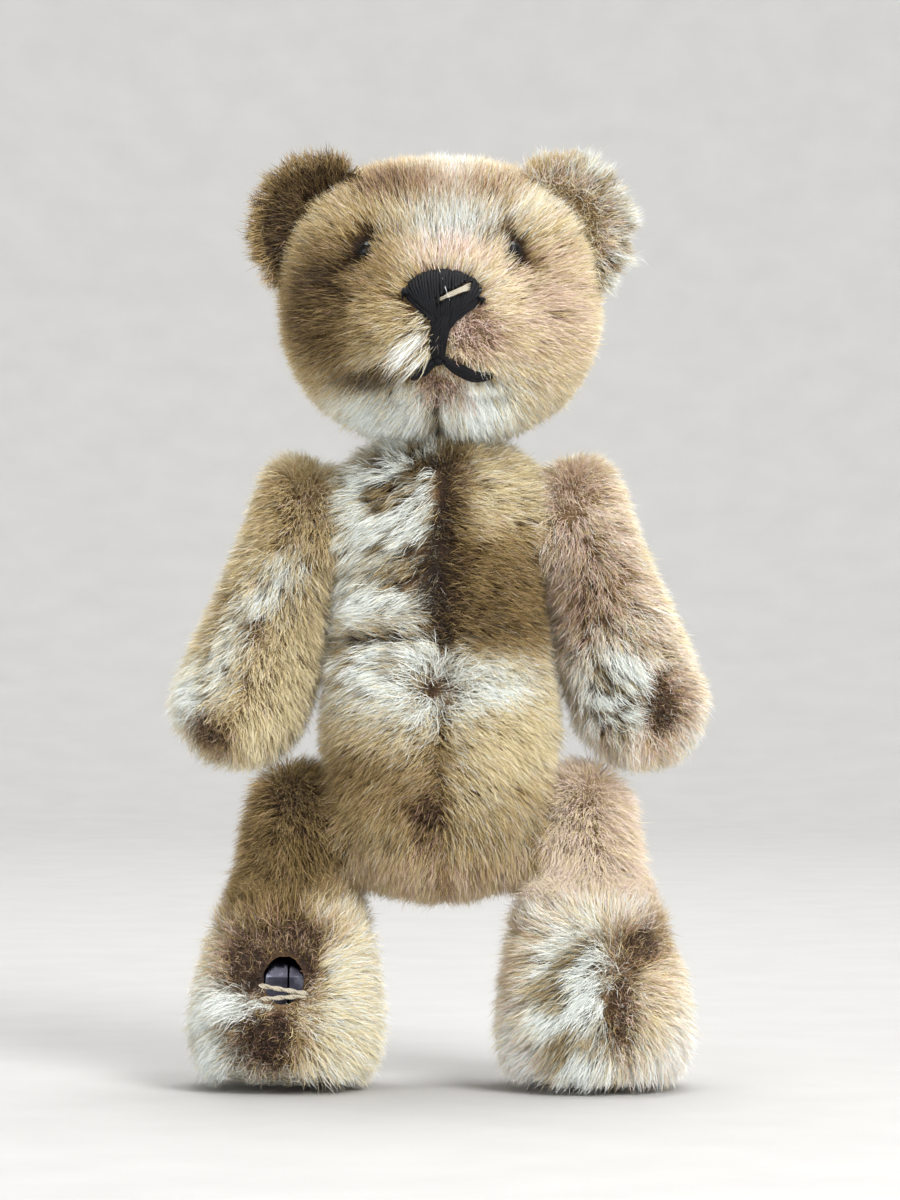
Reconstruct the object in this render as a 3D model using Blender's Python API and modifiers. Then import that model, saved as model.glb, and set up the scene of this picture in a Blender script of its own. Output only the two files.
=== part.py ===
"""A jointed miniature teddy bear, built the way the real one is built.

Pressed steel half shells make the torso, head, arms and legs, and a mohair
cover wraps each of them.  Headed pins, tied together by springs, hold the
limbs against the torso so that they turn stiffly about one line through the
shoulders and one through the hips.  The head turns on an upright pin.

The bear stands on flat soles, faces -Y and has its left side at +X.  Lengths
are in millimetres until MM turns them into metres.  Points are given from the
bear's own upright axis, which lies AXIS_Y behind the frame's origin.
"""
import math

import bmesh
import bpy
from mathutils import Matrix, Vector

MM = 0.001

# ---- driving dimensions -------------------------------------------------
AXIS_Y = 3.1            # puts the middle of the bear's depth over the origin
COVER_GROW = 1.75       # outside of the mohair cover, out from the steel shell
LINING_GROW = 0.15      # inside of the cover, out from the steel shell
SHELL_WALL = 0.35       # thickness of the pressed steel
SPLIT_GAP = 0.1         # each half shell stops this far from the split plane
SPLIT_BLOCK = 200.0     # size of the block that cuts a shell in half

SHOULDER_Z = 54.0
HIP_Z = 25.0
NECK_Z = 62.0
ARM_LEAN = math.radians(16.4)       # the arms lean out, away from the belly

TORSO_SEGMENTS = 18
TORSO_RINGS = 11
ARM_SEGMENTS = 12
ARM_RINGS = 9
LEG_SEGMENTS = 14
LEG_RINGS = 11
HEAD_SEGMENTS = 20
HEAD_RINGS = 12
ROUND_STEPS = 10        # facets around pins and holes
FLAT_STEPS = 16         # facets around washers and their seats

# Stations: height, centre x, centre y, half width, half depth of the shell.
TORSO_ENDS = (19.8, 60.2)
TORSO_STATIONS = (
    (23.0, 0.0, -0.6, 6.2, 6.0),
    (27.8, 0.0, -0.8, 8.3, 8.1),
    (31.2, 0.0, -0.9, 9.25, 9.0),
    (35.2, 0.0, -0.9, 9.8, 9.3),
    (39.5, 0.0, -0.7, 9.1, 8.7),
    (44.0, 0.0, -0.4, 8.4, 7.9),
    (50.0, 0.0, 0.0, 8.15, 7.3),
    (54.0, 0.0, 0.0, 8.15, 7.2),
    (58.0, 0.0, 0.0, 7.9, 6.7),
)
ARM_ENDS = (32.9, 58.8)
ARM_STATIONS = (
    (36.0, 19.4, 0.0, 4.75, 4.7),
    (40.5, 18.1, 0.0, 4.6, 4.6),
    (46.9, 15.9, 0.0, 3.7, 4.5),
    (54.0, 14.15, 0.0, 2.15, 4.8),
)
LEG_ENDS = (1.75, 29.0)
LEG_STATIONS = (
    (3.4, 14.8, -3.9, 6.7, 9.3),
    (8.0, 14.8, -4.1, 6.8, 9.6),
    (12.5, 14.6, -3.1, 6.0, 8.1),
    (15.0, 14.4, -1.5, 4.9, 6.0),
    (17.5, 14.3, -0.2, 3.9, 4.3),
    (21.0, 14.7, 0.0, 2.4, 4.1),
    (25.0, 14.4, 0.0, 2.2, 4.0),
)

# The head: a squarish skull with a muzzle blended on its front.
HEAD_CENTRE = Vector((0.0, 0.0, 75.9))
SKULL_HALF = (13.3, 11.3, 11.5)
SKULL_POWER = 2.5
MUZZLE_CENTRE = Vector((0.0, -9.5, -2.6))
MUZZLE_HALF = (7.2, 7.6, 6.4)
MUZZLE_BLEND = 2.2
RING_CROWDING = 0.28    # how much the skin's rings gather at the muzzle
EAR_CENTRE = Vector((11.3, -2.5, 82.8))
EAR_RADIUS = 6.3
EAR_HALF_THICK = 1.4
EAR_CUP = 1.5
EAR_TURN = math.radians(20.0)
EYE_X = 6.9
EYE_Z = 80.0
EYE_RADIUS = 0.95
EYE_SINK = 0.6          # bead's centre, below the outside of the cover
EYE_PIN_RADIUS = 0.4
EYE_PIN_DEPTH = 2.6     # inner end of the eye's pin, from the bead's centre
EYE_POCKET_GAP = 0.2
EYE_HOLE_GAP = 0.3

# Joint hardware.  Places are along the joint's line, out from the bear's axis.
PIN_RADIUS = 0.6
PIN_HEAD_RADIUS = 1.7
PIN_HEAD_THICK = 0.6
PIN_HEAD_BEVEL = 0.3
PIN_HOLE_RADIUS = 0.85
PIN_HOLE_START = 5.0    # inner end of the cuts for a pin, out from the middle
PIN_HOLE_FINISH = 12.0
LIMB_HOLE_REACH = 4.0   # from the pin's head back through the limb's inner side
LOOP_PLACE = 4.4        # centre of the pin's inner loop
LOOP_RADIUS = 1.0
LOOP_WIRE = 0.35
WASHER_THICK = 0.5
WASHER_RADIUS = 3.6
SEAT_RADIUS = 4.2       # flat on the torso's cover under each washer
SEAT_GAP = 0.15
SEAT_CUT = 5.0          # how far the cutter for a seat reaches outwards
SHOULDER_SEAT = 9.35
SHOULDER_PIN_HEAD = 12.9
HIP_SEAT = 9.5
HIP_PIN_HEAD = 13.1
ARM_SPLIT_X = 14.1      # where the two half shells of a limb meet
LEG_SPLIT_X = 14.35
SPRING_WIRE = 0.22
SPRING_RADIUS = 1.3
SPRING_HALF = 1.9
SPRING_TURNS = 3
HOOK_PLACE = 3.05
HOOK_START = math.radians(-280.0)
HOOK_TURN = math.radians(280.0)
HOOK_STEPS = 7
LEAD_STEP = 0.1         # from the coil's end to the bend of its hook
LEAD_SHARE = 0.6        # of the coil's radius, where the hook leaves it

NECK_SEAT_Z = 61.6
NECK_SEAT_RADIUS = 5.2
NECK_WASHER_RADIUS = 4.6
NECK_PIN_RADIUS = 0.7
NECK_HOLE_RADIUS = 0.95
NECK_CUT = (58.0, 66.0)         # heights between which the neck's hole is cut
NECK_HEAD_CUT_FOOT = 60.0
NECK_HEAD_RADIUS = 2.2
NECK_HEAD_Z = 65.4
NECK_FOOT_Z = 56.0
NECK_FOOT_RADIUS = 1.1
NECK_FOOT_THICK = 0.4
NECK_SPRING_RADIUS = 1.45
NECK_SPRING_TURNS = 3
NECK_SPRING_LOW_GAP = 0.1
NECK_SPRING_HIGH_GAP = 0.15
RETAINER_Z = 56.55
RETAINER_RADIUS = 2.1
CUT_CLEARANCE = 0.2     # a hole runs this far past the pin's head

SURFACES = {
    "mohair": ((0.78, 0.66, 0.44), 0.95, 0.0),
    "steel_shell": ((0.42, 0.43, 0.45), 0.45, 1.0),
    "pin_steel": ((0.62, 0.63, 0.65), 0.3, 1.0),
    "fibre_washer": ((0.30, 0.16, 0.10), 0.85, 0.0),
    "eye_black": ((0.01, 0.01, 0.012), 0.12, 0.0),
    "nose_thread": ((0.015, 0.017, 0.025), 0.7, 0.0),
    "mending_thread": ((0.80, 0.76, 0.66), 0.8, 0.0),
}


# ---- forms --------------------------------------------------------------
def blended(rows, height):
    """Smooth values between rows that start with their height."""
    if height <= rows[0][0]:
        return rows[0][1:]
    if height >= rows[-1][0]:
        return rows[-1][1:]
    index = next(i for i in range(len(rows) - 1) if height <= rows[i + 1][0])
    low, high = rows[index], rows[index + 1]
    before = rows[max(index - 1, 0)]
    after = rows[min(index + 2, len(rows) - 1)]
    span = high[0] - low[0]
    t = (height - low[0]) / span
    values = []
    for column in range(1, len(low)):
        slope_low = (high[column] - before[column]) / (high[0] - before[0]) * span
        slope_high = (after[column] - low[column]) / (after[0] - low[0]) * span
        values.append(
            (2 * t ** 3 - 3 * t ** 2 + 1) * low[column]
            + (t ** 3 - 2 * t ** 2 + t) * slope_low
            + (3 * t ** 2 - 2 * t ** 3) * high[column]
            + (t ** 3 - t ** 2) * slope_high
        )
    return values


class Form:
    """A closed upright body: sections at stated heights between rounded ends."""

    END_LEVEL = 0.985   # the ends are flat inside the section at this level

    def __init__(self, ends, end_powers, section_power, stations):
        bottom, top = ends
        self.middle = (bottom + top) / 2
        self.half = (top - bottom) / 2
        self.end_powers = end_powers
        self.section_power = section_power
        self.rows = [self.full_width(row) for row in sorted(stations)]

    def narrowing(self, level):
        """How far a section is pulled in towards the end, from 1 downwards."""
        power = self.end_powers[1] if level > 0 else self.end_powers[0]
        reach = min(abs(level), self.END_LEVEL)
        return (1 - reach ** power) ** (1 / power)

    def full_width(self, row):
        height, centre_x, centre_y, half_x, half_y = row
        factor = self.narrowing((height - self.middle) / self.half)
        return (height, centre_x, centre_y, half_x / factor, half_y / factor)

    def ring(self, level, grow, segments, side):
        """One section's points, in order around the form."""
        centre_x, centre_y, half_x, half_y = blended(
            self.rows, self.middle + level * self.half)
        factor = self.narrowing(level)
        height = self.middle + level * (self.half + grow)
        points = []
        for step in range(segments):
            angle = 2 * math.pi * step / segments
            along = math.cos(angle)
            across = math.sin(angle)
            reach_x = math.copysign(abs(along) ** (2 / self.section_power), along)
            reach_y = math.copysign(abs(across) ** (2 / self.section_power), across)
            x = centre_x + (half_x + grow) * factor * reach_x
            y = centre_y + (half_y + grow) * factor * reach_y
            points.append((side * x, y, height))
        return points


TORSO_FORM = Form(TORSO_ENDS, (2.4, 6.0), 2.0, TORSO_STATIONS)
ARM_FORM = Form(ARM_ENDS, (2.8, 2.6), 2.1, ARM_STATIONS)
LEG_FORM = Form(LEG_ENDS, (6.0, 2.4), 2.4, LEG_STATIONS)


def face_outward(bm):
    """Faces out, and every quad split the same way, so nested skins stay clear."""
    bm.normal_update()
    bmesh.ops.recalc_face_normals(bm, faces=bm.faces)
    bmesh.ops.triangulate(bm, faces=bm.faces, quad_method="FIXED")


def lofted(form, grow, segments, rings, side=1):
    """A closed skin over the form's sections, as a bmesh."""
    bm = bmesh.new()
    rows = []
    for index in range(rings):
        level = math.sin(math.pi / 2 * (2 * index / (rings - 1) - 1))
        points = form.ring(level, grow, segments, side)
        rows.append([bm.verts.new(point) for point in points])
    for lower, upper in zip(rows, rows[1:]):
        for step in range(segments):
            after = (step + 1) % segments
            bm.faces.new((lower[step], lower[after], upper[after], upper[step]))
    bm.faces.new(rows[0])
    bm.faces.new(rows[-1])
    face_outward(bm)
    return bm


def head_reach(direction, grow):
    """Distance from the head's centre to its surface along a unit direction."""
    share = sum((abs(direction[i]) / (SKULL_HALF[i] + grow)) ** SKULL_POWER for i in range(3))
    skull = share ** (-1 / SKULL_POWER)
    ray = Vector(direction[i] / (MUZZLE_HALF[i] + grow) for i in range(3))
    centre = Vector(MUZZLE_CENTRE[i] / (MUZZLE_HALF[i] + grow) for i in range(3))
    inside = ray.dot(centre) ** 2 - ray.dot(ray) * (centre.dot(centre) - 1)
    if inside <= 0:
        return skull
    muzzle = (ray.dot(centre) + math.sqrt(inside)) / ray.dot(ray)
    overlap = max(MUZZLE_BLEND - abs(skull - muzzle), 0) / MUZZLE_BLEND
    return max(skull, muzzle) + overlap ** 2 * MUZZLE_BLEND / 4


def face_point(x, z, grow):
    """The point of the head's front at a given x and height."""
    near, far = 0.0, 40.0
    for _ in range(40):
        reach = (near + far) / 2
        offset = Vector((x, -reach, z - HEAD_CENTRE.z))
        if offset.length < head_reach(offset.normalized(), grow):
            near = reach
        else:
            far = reach
    return Vector((x, -near, z))


def face_normal(x, z, grow):
    """The outward direction of the head's front at a given x and height."""
    step = 0.2
    across = face_point(x + step, z, grow) - face_point(x - step, z, grow)
    upward = face_point(x, z + step, grow) - face_point(x, z - step, grow)
    return across.cross(upward).normalized()


def head_skin(grow):
    """The head's closed skin, its poles at the nose and the back of the head."""
    bm = bmesh.new()
    bmesh.ops.create_uvsphere(bm, u_segments=HEAD_SEGMENTS, v_segments=HEAD_RINGS, radius=1.0)
    for vert in bm.verts:
        angle = math.acos(max(-1.0, min(1.0, vert.co.z)))
        drawn = angle * (1 - RING_CROWDING * (1 - angle / math.pi))
        around = math.atan2(vert.co.y, vert.co.x)
        ring = math.sin(drawn)
        direction = Vector((ring * math.cos(around), -math.cos(drawn), ring * math.sin(around)))
        vert.co = HEAD_CENTRE + direction * head_reach(direction, grow)
    face_outward(bm)
    return bm


# ---- scene bookkeeping --------------------------------------------------
for old in list(bpy.data.objects):
    bpy.data.objects.remove(old)

PARTS = bpy.data.collections.new("jointed_teddy_bear")
CUTTERS = bpy.data.collections.new("cutters")
bpy.context.scene.collection.children.link(PARTS)
bpy.context.scene.collection.children.link(CUTTERS)


def world(point):
    """A point of the bear, in metres in the frame."""
    return Vector((point[0], point[1] + AXIS_Y, point[2])) * MM


def add_empty(name, point):
    empty = bpy.data.objects.new(name, None)
    empty.location = world(point)
    empty.empty_display_size = 3 * MM
    PARTS.objects.link(empty)
    return empty


BODIES = {
    "torso": add_empty("torso_axis", (0, 0, 0)),
    "head": add_empty("neck_axis", (0, 0, NECK_Z)),
    "arm_left": add_empty("shoulder_axis_left", (SHOULDER_SEAT, 0, SHOULDER_Z)),
    "arm_right": add_empty("shoulder_axis_right", (-SHOULDER_SEAT, 0, SHOULDER_Z)),
    "leg_left": add_empty("hip_axis_left", (HIP_SEAT, 0, HIP_Z)),
    "leg_right": add_empty("hip_axis_right", (-HIP_SEAT, 0, HIP_Z)),
}


def make_materials():
    materials = {}
    for name, (colour, roughness, metallic) in SURFACES.items():
        material = bpy.data.materials.new(name)
        material.use_nodes = True
        shader = material.node_tree.nodes["Principled BSDF"]
        shader.inputs["Base Color"].default_value = (*colour, 1.0)
        shader.inputs["Roughness"].default_value = roughness
        shader.inputs["Metallic"].default_value = metallic
        materials[name] = material
    return materials


MATERIALS = make_materials()


def skin_object(name, bm):
    """An object from a bmesh that is still in the bear's millimetres."""
    for vert in bm.verts:
        vert.co = world(vert.co)
    mesh = bpy.data.meshes.new(name)
    bm.to_mesh(mesh)
    bm.free()
    mesh.shade_smooth()
    return bpy.data.objects.new(name, mesh)


def as_part(obj, body, material):
    """Put a finished piece on its body, with its origin on the body's joint."""
    PARTS.objects.link(obj)
    pivot = BODIES[body].location.copy()
    if obj.location.length == 0:
        obj.data.transform(Matrix.Translation(-pivot))
    else:
        obj.location -= pivot
    obj.parent = BODIES[body]
    obj.data.materials.append(MATERIALS[material])
    return obj


def as_cutter(obj):
    CUTTERS.objects.link(obj)
    obj.hide_render = True
    obj.display_type = "WIRE"
    return obj


def combine(obj, tool, operation="DIFFERENCE"):
    modifier = obj.modifiers.new(tool.name, "BOOLEAN")
    modifier.operation = operation
    modifier.solver = "EXACT"
    modifier.object = tool


def turned(name, profile, place, direction, closed=False, steps=ROUND_STEPS):
    """A turned piece: (radius, height) points run down its outer side."""
    mesh = bpy.data.meshes.new(name)
    points = [(radius * MM, 0.0, height * MM) for radius, height in profile]
    edges = [(i, i + 1) for i in range(len(points) - 1)]
    if closed:
        edges.append((len(points) - 1, 0))
    mesh.from_pydata(points, edges, [])
    obj = bpy.data.objects.new(name, mesh)
    screw = obj.modifiers.new("turning", "SCREW")
    screw.axis = "Z"
    screw.steps = steps
    screw.render_steps = steps
    screw.use_merge_vertices = True
    screw.merge_threshold = 0.00001
    obj.location = world(place)
    obj.rotation_mode = "QUATERNION"
    obj.rotation_quaternion = Vector((0, 0, 1)).rotation_difference(Vector(direction))
    return obj


def rod(name, radius, low, high, place, direction):
    profile = [(0, high), (radius, high), (radius, low), (0, low)]
    return as_cutter(turned(name, profile, place, direction))


# ---- covers and shells --------------------------------------------------
def half_shell(name, skin, plane_point, plane_normal, body):
    """A steel wall on the side of the split plane that its normal points to."""
    obj = as_part(skin_object(name, skin(0)), body, "steel_shell")
    combine(obj, as_cutter(skin_object(name + "_hollow", skin(-SHELL_WALL))))
    normal = Vector(plane_normal).normalized()
    half_space = bmesh.new()
    bmesh.ops.create_cube(half_space, size=SPLIT_BLOCK)
    turn = Vector((0, 0, 1)).rotation_difference(normal).to_matrix().to_4x4()
    middle = Vector(plane_point) + normal * (SPLIT_GAP - SPLIT_BLOCK / 2)
    half_space.transform(Matrix.Translation(middle) @ turn)
    combine(obj, as_cutter(skin_object(name + "_split", half_space)))
    return obj


def cover(name, skin, body):
    """A hollow mohair cover around a shell."""
    obj = as_part(skin_object(name, skin(COVER_GROW)), body, "mohair")
    combine(obj, as_cutter(skin_object(name + "_lining", skin(LINING_GROW))))
    return obj


def build_torso():
    def skin(grow):
        return lofted(TORSO_FORM, grow, TORSO_SEGMENTS, TORSO_RINGS)

    body_cover = cover("torso_cover", skin, "torso")
    front = half_shell("torso_shell_front", skin, (0, 0, 0), (0, -1, 0), "torso")
    back = half_shell("torso_shell_back", skin, (0, 0, 0), (0, 1, 0), "torso")
    for label, seat, height in (("shoulder", SHOULDER_SEAT, SHOULDER_Z), ("hip", HIP_SEAT, HIP_Z)):
        for end, side in (("left", 1), ("right", -1)):
            socket = [
                (0, seat + SEAT_CUT),
                (SEAT_RADIUS, seat + SEAT_CUT),
                (SEAT_RADIUS, seat),
                (PIN_HOLE_RADIUS, seat),
                (PIN_HOLE_RADIUS, PIN_HOLE_START),
                (0, PIN_HOLE_START),
            ]
            seat_cutter = as_cutter(turned(
                f"{label}_seat_{end}", socket, (0, 0, height), (side, 0, 0),
                steps=FLAT_STEPS))
            combine(body_cover, seat_cutter)
            hole = rod(
                f"{label}_hole_{end}", PIN_HOLE_RADIUS, PIN_HOLE_START, PIN_HOLE_FINISH,
                (0, 0, height), (side, 0, 0))
            combine(front, hole)
            combine(back, hole)
    neck_low, neck_high = NECK_CUT
    neck_socket = [
        (0, neck_high),
        (NECK_SEAT_RADIUS, neck_high),
        (NECK_SEAT_RADIUS, NECK_SEAT_Z),
        (NECK_HOLE_RADIUS, NECK_SEAT_Z),
        (NECK_HOLE_RADIUS, neck_low),
        (0, neck_low),
    ]
    combine(body_cover, as_cutter(turned(
        "neck_seat", neck_socket, (0, 0, 0), (0, 0, 1), steps=FLAT_STEPS)))
    neck_hole = rod("neck_hole", NECK_HOLE_RADIUS, neck_low, neck_high, (0, 0, 0), (0, 0, 1))
    combine(front, neck_hole)
    combine(back, neck_hole)


def build_limb(label, form, size, height, split_normal, split_x, head_place):
    """Cover and two half shells of an arm or a leg, on both sides of the bear."""
    for end, side in (("left", 1), ("right", -1)):
        body = f"{label}_{end}"

        def skin(grow, side=side):
            return lofted(form, grow, *size, side)

        limb_cover = cover(f"{body}_cover", skin, body)
        point = (side * split_x, 0, height)
        outward = (side * split_normal[0], 0, split_normal[2])
        inward = (-side * split_normal[0], 0, -split_normal[2])
        inner = half_shell(f"{body}_shell_inner", skin, point, inward, body)
        half_shell(f"{body}_shell_outer", skin, point, outward, body)
        hole = rod(
            f"{body}_pin_hole", PIN_HOLE_RADIUS, head_place - LIMB_HOLE_REACH,
            head_place + CUT_CLEARANCE, (0, 0, height), (side, 0, 0))
        combine(inner, hole)
        combine(limb_cover, hole)


def build_head():
    head_cover = cover("head_cover", head_skin, "head")
    front = half_shell("head_shell_front", head_skin, (0, 0, 0), (0, -1, 0), "head")
    back = half_shell("head_shell_back", head_skin, (0, 0, 0), (0, 1, 0), "head")
    neck = rod(
        "head_neck_hole", NECK_HOLE_RADIUS, NECK_HEAD_CUT_FOOT, NECK_HEAD_Z + CUT_CLEARANCE,
        (0, 0, 0), (0, 0, 1))
    for piece in (head_cover, front, back):
        combine(piece, neck)
    build_eyes(head_cover, front)
    build_nose(head_cover)
    build_ears()


# ---- face ---------------------------------------------------------------
def eye_profile(margin, depth):
    """A round bead on a pin that runs inwards, as a turned profile."""
    radius = EYE_RADIUS + margin
    shank = EYE_PIN_RADIUS + margin
    start = math.asin(shank / radius)
    profile = [(0, radius)]
    for step in range(1, 7):
        angle = step * (math.pi - start) / 6
        profile.append((radius * math.sin(angle), radius * math.cos(angle)))
    profile.append((shank, -depth))
    profile.append((0, -depth))
    return profile


def build_eyes(head_cover, front_shell):
    for end, side in (("left", 1), ("right", -1)):
        place = face_point(side * EYE_X, EYE_Z, COVER_GROW - EYE_SINK)
        normal = face_normal(side * EYE_X, EYE_Z, COVER_GROW)
        bead = turned(f"eye_{end}", eye_profile(0, EYE_PIN_DEPTH), place, normal)
        as_part(bead, "head", "eye_black")
        deep = EYE_PIN_DEPTH + EYE_HOLE_GAP
        pocket = turned(
            f"eye_pocket_{end}", eye_profile(EYE_POCKET_GAP, deep), place, normal)
        combine(head_cover, as_cutter(pocket))
        combine(front_shell, rod(
            f"eye_hole_{end}", EYE_PIN_RADIUS + EYE_HOLE_GAP, -deep, 0, place, normal))


def face_pad(name, start, finish, half_width, half_thick, grow, margin=0.0):
    """A pad of thread that lies on the face from one (x, z) point to another."""
    along = Vector((finish[0] - start[0], 0, finish[1] - start[1]))
    middle_x = (start[0] + finish[0]) / 2
    middle_z = (start[1] + finish[1]) / 2
    half_long = along.length / 2 + margin
    along.normalize()
    bm = bmesh.new()
    bmesh.ops.create_uvsphere(bm, u_segments=10, v_segments=7, radius=1.0)
    for vert in bm.verts:
        run = vert.co.z * half_long
        width = vert.co.x * (half_width + margin)
        x = middle_x + run * along.x + width * along.z
        z = middle_z + run * along.z - width * along.x
        vert.co = face_point(x, z, grow + vert.co.y * (half_thick + margin))
    face_outward(bm)
    return skin_object(name, bm)


FACE_PADS = (
    # name, start (x, z), finish (x, z), half width, half thickness, grow
    ("nose_stitching", (-3.6, 75.6), (4.2, 75.6), 2.35, 0.85, 1.5),
    ("philtrum_stitch", (0.3, 73.0), (0.3, 70.0), 0.5, 0.5, 1.45),
    ("mouth_stitch_left", (0.9, 69.3), (5.2, 68.0), 0.5, 0.5, 1.45),
    ("mouth_stitch_right", (-0.3, 69.3), (-3.0, 68.2), 0.5, 0.5, 1.45),
)
PAD_MARGIN = 0.15


def build_nose(head_cover):
    for name, start, finish, half_width, half_thick, grow in FACE_PADS:
        pad = face_pad(name, start, finish, half_width, half_thick, grow)
        as_part(pad, "head", "nose_thread")
        pocket = face_pad(
            name + "_pocket", start, finish, half_width, half_thick, grow, PAD_MARGIN)
        combine(head_cover, as_cutter(pocket))


def build_ears():
    """Cupped round ears, cut to sit on the head's cover."""
    seat = as_cutter(skin_object("ear_seat", head_skin(COVER_GROW + SEAT_GAP)))
    for end, side in (("left", 1), ("right", -1)):
        bm = bmesh.new()
        bmesh.ops.create_uvsphere(bm, u_segments=14, v_segments=8, radius=1.0)
        turn = Matrix.Rotation(EAR_TURN, 3, "Z")
        for vert in bm.verts:
            rim = vert.co.x ** 2 + vert.co.z ** 2
            local = Vector((
                EAR_RADIUS * vert.co.x,
                EAR_HALF_THICK * vert.co.y - EAR_CUP * rim,
                EAR_RADIUS * vert.co.z,
            ))
            spot = EAR_CENTRE + turn @ local
            vert.co = Vector((side * spot.x, spot.y, spot.z))
        face_outward(bm)
        ear = as_part(skin_object(f"ear_{end}", bm), "head", "mohair")
        combine(ear, seat)


# ---- joint hardware -----------------------------------------------------
def ring_profile(radius, wire, points=6):
    """The round section of a ring, running down its outer side."""
    return [
        (radius + wire * math.cos(2 * math.pi * i / points),
         -wire * math.sin(2 * math.pi * i / points))
        for i in range(points)
    ]


def washer(name, bore, rim, place, direction):
    """A flat ring that starts at its place and is WASHER_THICK thick."""
    profile = [(bore, WASHER_THICK), (rim, WASHER_THICK), (rim, 0), (bore, 0)]
    obj = turned(name, profile, place, direction, closed=True, steps=FLAT_STEPS)
    return as_part(obj, "torso", "fibre_washer")


def build_joint_pin(label, end, side, height, seat, head_place):
    """A headed pin with a loop at its inner end, and the washer on it."""
    profile = [
        (0, head_place + PIN_HEAD_THICK),
        (PIN_HEAD_RADIUS - PIN_HEAD_BEVEL, head_place + PIN_HEAD_THICK),
        (PIN_HEAD_RADIUS, head_place + PIN_HEAD_THICK - PIN_HEAD_BEVEL),
        (PIN_HEAD_RADIUS, head_place),
        (PIN_RADIUS, head_place),
        (PIN_RADIUS, LOOP_PLACE + LOOP_RADIUS),
        (0, LOOP_PLACE + LOOP_RADIUS),
    ]
    pin = turned(f"{label}_pin_{end}", profile, (0, 0, height), (side, 0, 0))
    as_part(pin, "torso", "pin_steel")
    loop_profile = ring_profile(LOOP_RADIUS, LOOP_WIRE)
    loop = as_cutter(turned(
        f"{label}_loop_{end}", loop_profile, (side * LOOP_PLACE, 0, height), (0, 1, 0), closed=True))
    combine(pin, loop, "UNION")
    washer(
        f"{label}_washer_{end}", PIN_HOLE_RADIUS, WASHER_RADIUS,
        (side * (seat + SEAT_GAP), 0, height), (side, 0, 0))


def wire(name, points, radius, body, material):
    """A round wire through points given in the bear's millimetres."""
    curve = bpy.data.curves.new(name, "CURVE")
    curve.dimensions = "3D"
    curve.bevel_depth = radius * MM
    curve.bevel_resolution = 1
    curve.use_fill_caps = True
    spline = curve.splines.new("POLY")
    spline.points.add(len(points) - 1)
    pivot = BODIES[body].location
    for target, point in zip(spline.points, points):
        target.co = (*(world(point) - pivot), 1.0)
    obj = bpy.data.objects.new(name, curve)
    PARTS.objects.link(obj)
    obj.parent = BODIES[body]
    curve.materials.append(MATERIALS[material])
    return obj


def coil_points(radius, start, finish, turns, per_turn=7):
    """Points around a coil as (along the axis, across, up)."""
    count = turns * per_turn
    points = []
    for index in range(count + 1):
        angle = 2 * math.pi * index / per_turn
        along = start + (finish - start) * index / count
        points.append((along, radius * math.cos(angle), radius * math.sin(angle)))
    return points


def build_tension_spring(label, height):
    """A coil across the torso, with a hook through the loop of each pin."""
    hook = []
    for step in range(HOOK_STEPS + 1):
        angle = HOOK_START + HOOK_TURN * step / HOOK_STEPS
        hook.append((-HOOK_PLACE + LOOP_RADIUS * math.cos(angle), LOOP_RADIUS * math.sin(angle), 0))
    lead_in = [(-SPRING_HALF - LEAD_STEP, LEAD_SHARE * SPRING_RADIUS, 0)]
    coil = coil_points(SPRING_RADIUS, -SPRING_HALF, SPRING_HALF, SPRING_TURNS)
    lead_out = [(SPRING_HALF + LEAD_STEP, LEAD_SHARE * SPRING_RADIUS, 0)]
    far_hook = [(-x, y, z) for x, y, z in reversed(hook)]
    path = hook + lead_in + coil + lead_out + far_hook
    points = [(x, y, height + z) for x, y, z in path]
    wire(f"{label}_spring", points, SPRING_WIRE, "torso", "pin_steel")


def build_neck():
    """The upright pin, its washer, and the spring that pulls the head down."""
    profile = [
        (0, NECK_HEAD_Z + PIN_HEAD_THICK),
        (NECK_HEAD_RADIUS - PIN_HEAD_BEVEL, NECK_HEAD_Z + PIN_HEAD_THICK),
        (NECK_HEAD_RADIUS, NECK_HEAD_Z + PIN_HEAD_THICK - PIN_HEAD_BEVEL),
        (NECK_HEAD_RADIUS, NECK_HEAD_Z),
        (NECK_PIN_RADIUS, NECK_HEAD_Z),
        (NECK_PIN_RADIUS, NECK_FOOT_Z + NECK_FOOT_THICK),
        (NECK_FOOT_RADIUS, NECK_FOOT_Z + NECK_FOOT_THICK),
        (NECK_FOOT_RADIUS, NECK_FOOT_Z),
        (0, NECK_FOOT_Z),
    ]
    as_part(turned("neck_pin", profile, (0, 0, 0), (0, 0, 1)), "torso", "pin_steel")
    washer(
        "neck_washer", PIN_HOLE_RADIUS, NECK_WASHER_RADIUS, (0, 0, NECK_SEAT_Z + SEAT_GAP),
        (0, 0, 1))
    washer("neck_retainer", PIN_HOLE_RADIUS, RETAINER_RADIUS, (0, 0, RETAINER_Z), (0, 0, 1))
    bottom = RETAINER_Z + WASHER_THICK + SPRING_WIRE + NECK_SPRING_LOW_GAP
    top = TORSO_ENDS[1] - SHELL_WALL - SPRING_WIRE - NECK_SPRING_HIGH_GAP
    coil = coil_points(NECK_SPRING_RADIUS, bottom, top, NECK_SPRING_TURNS)
    points = [(across, up, along) for along, across, up in coil]
    wire("neck_spring", points, SPRING_WIRE, "torso", "pin_steel")


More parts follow.
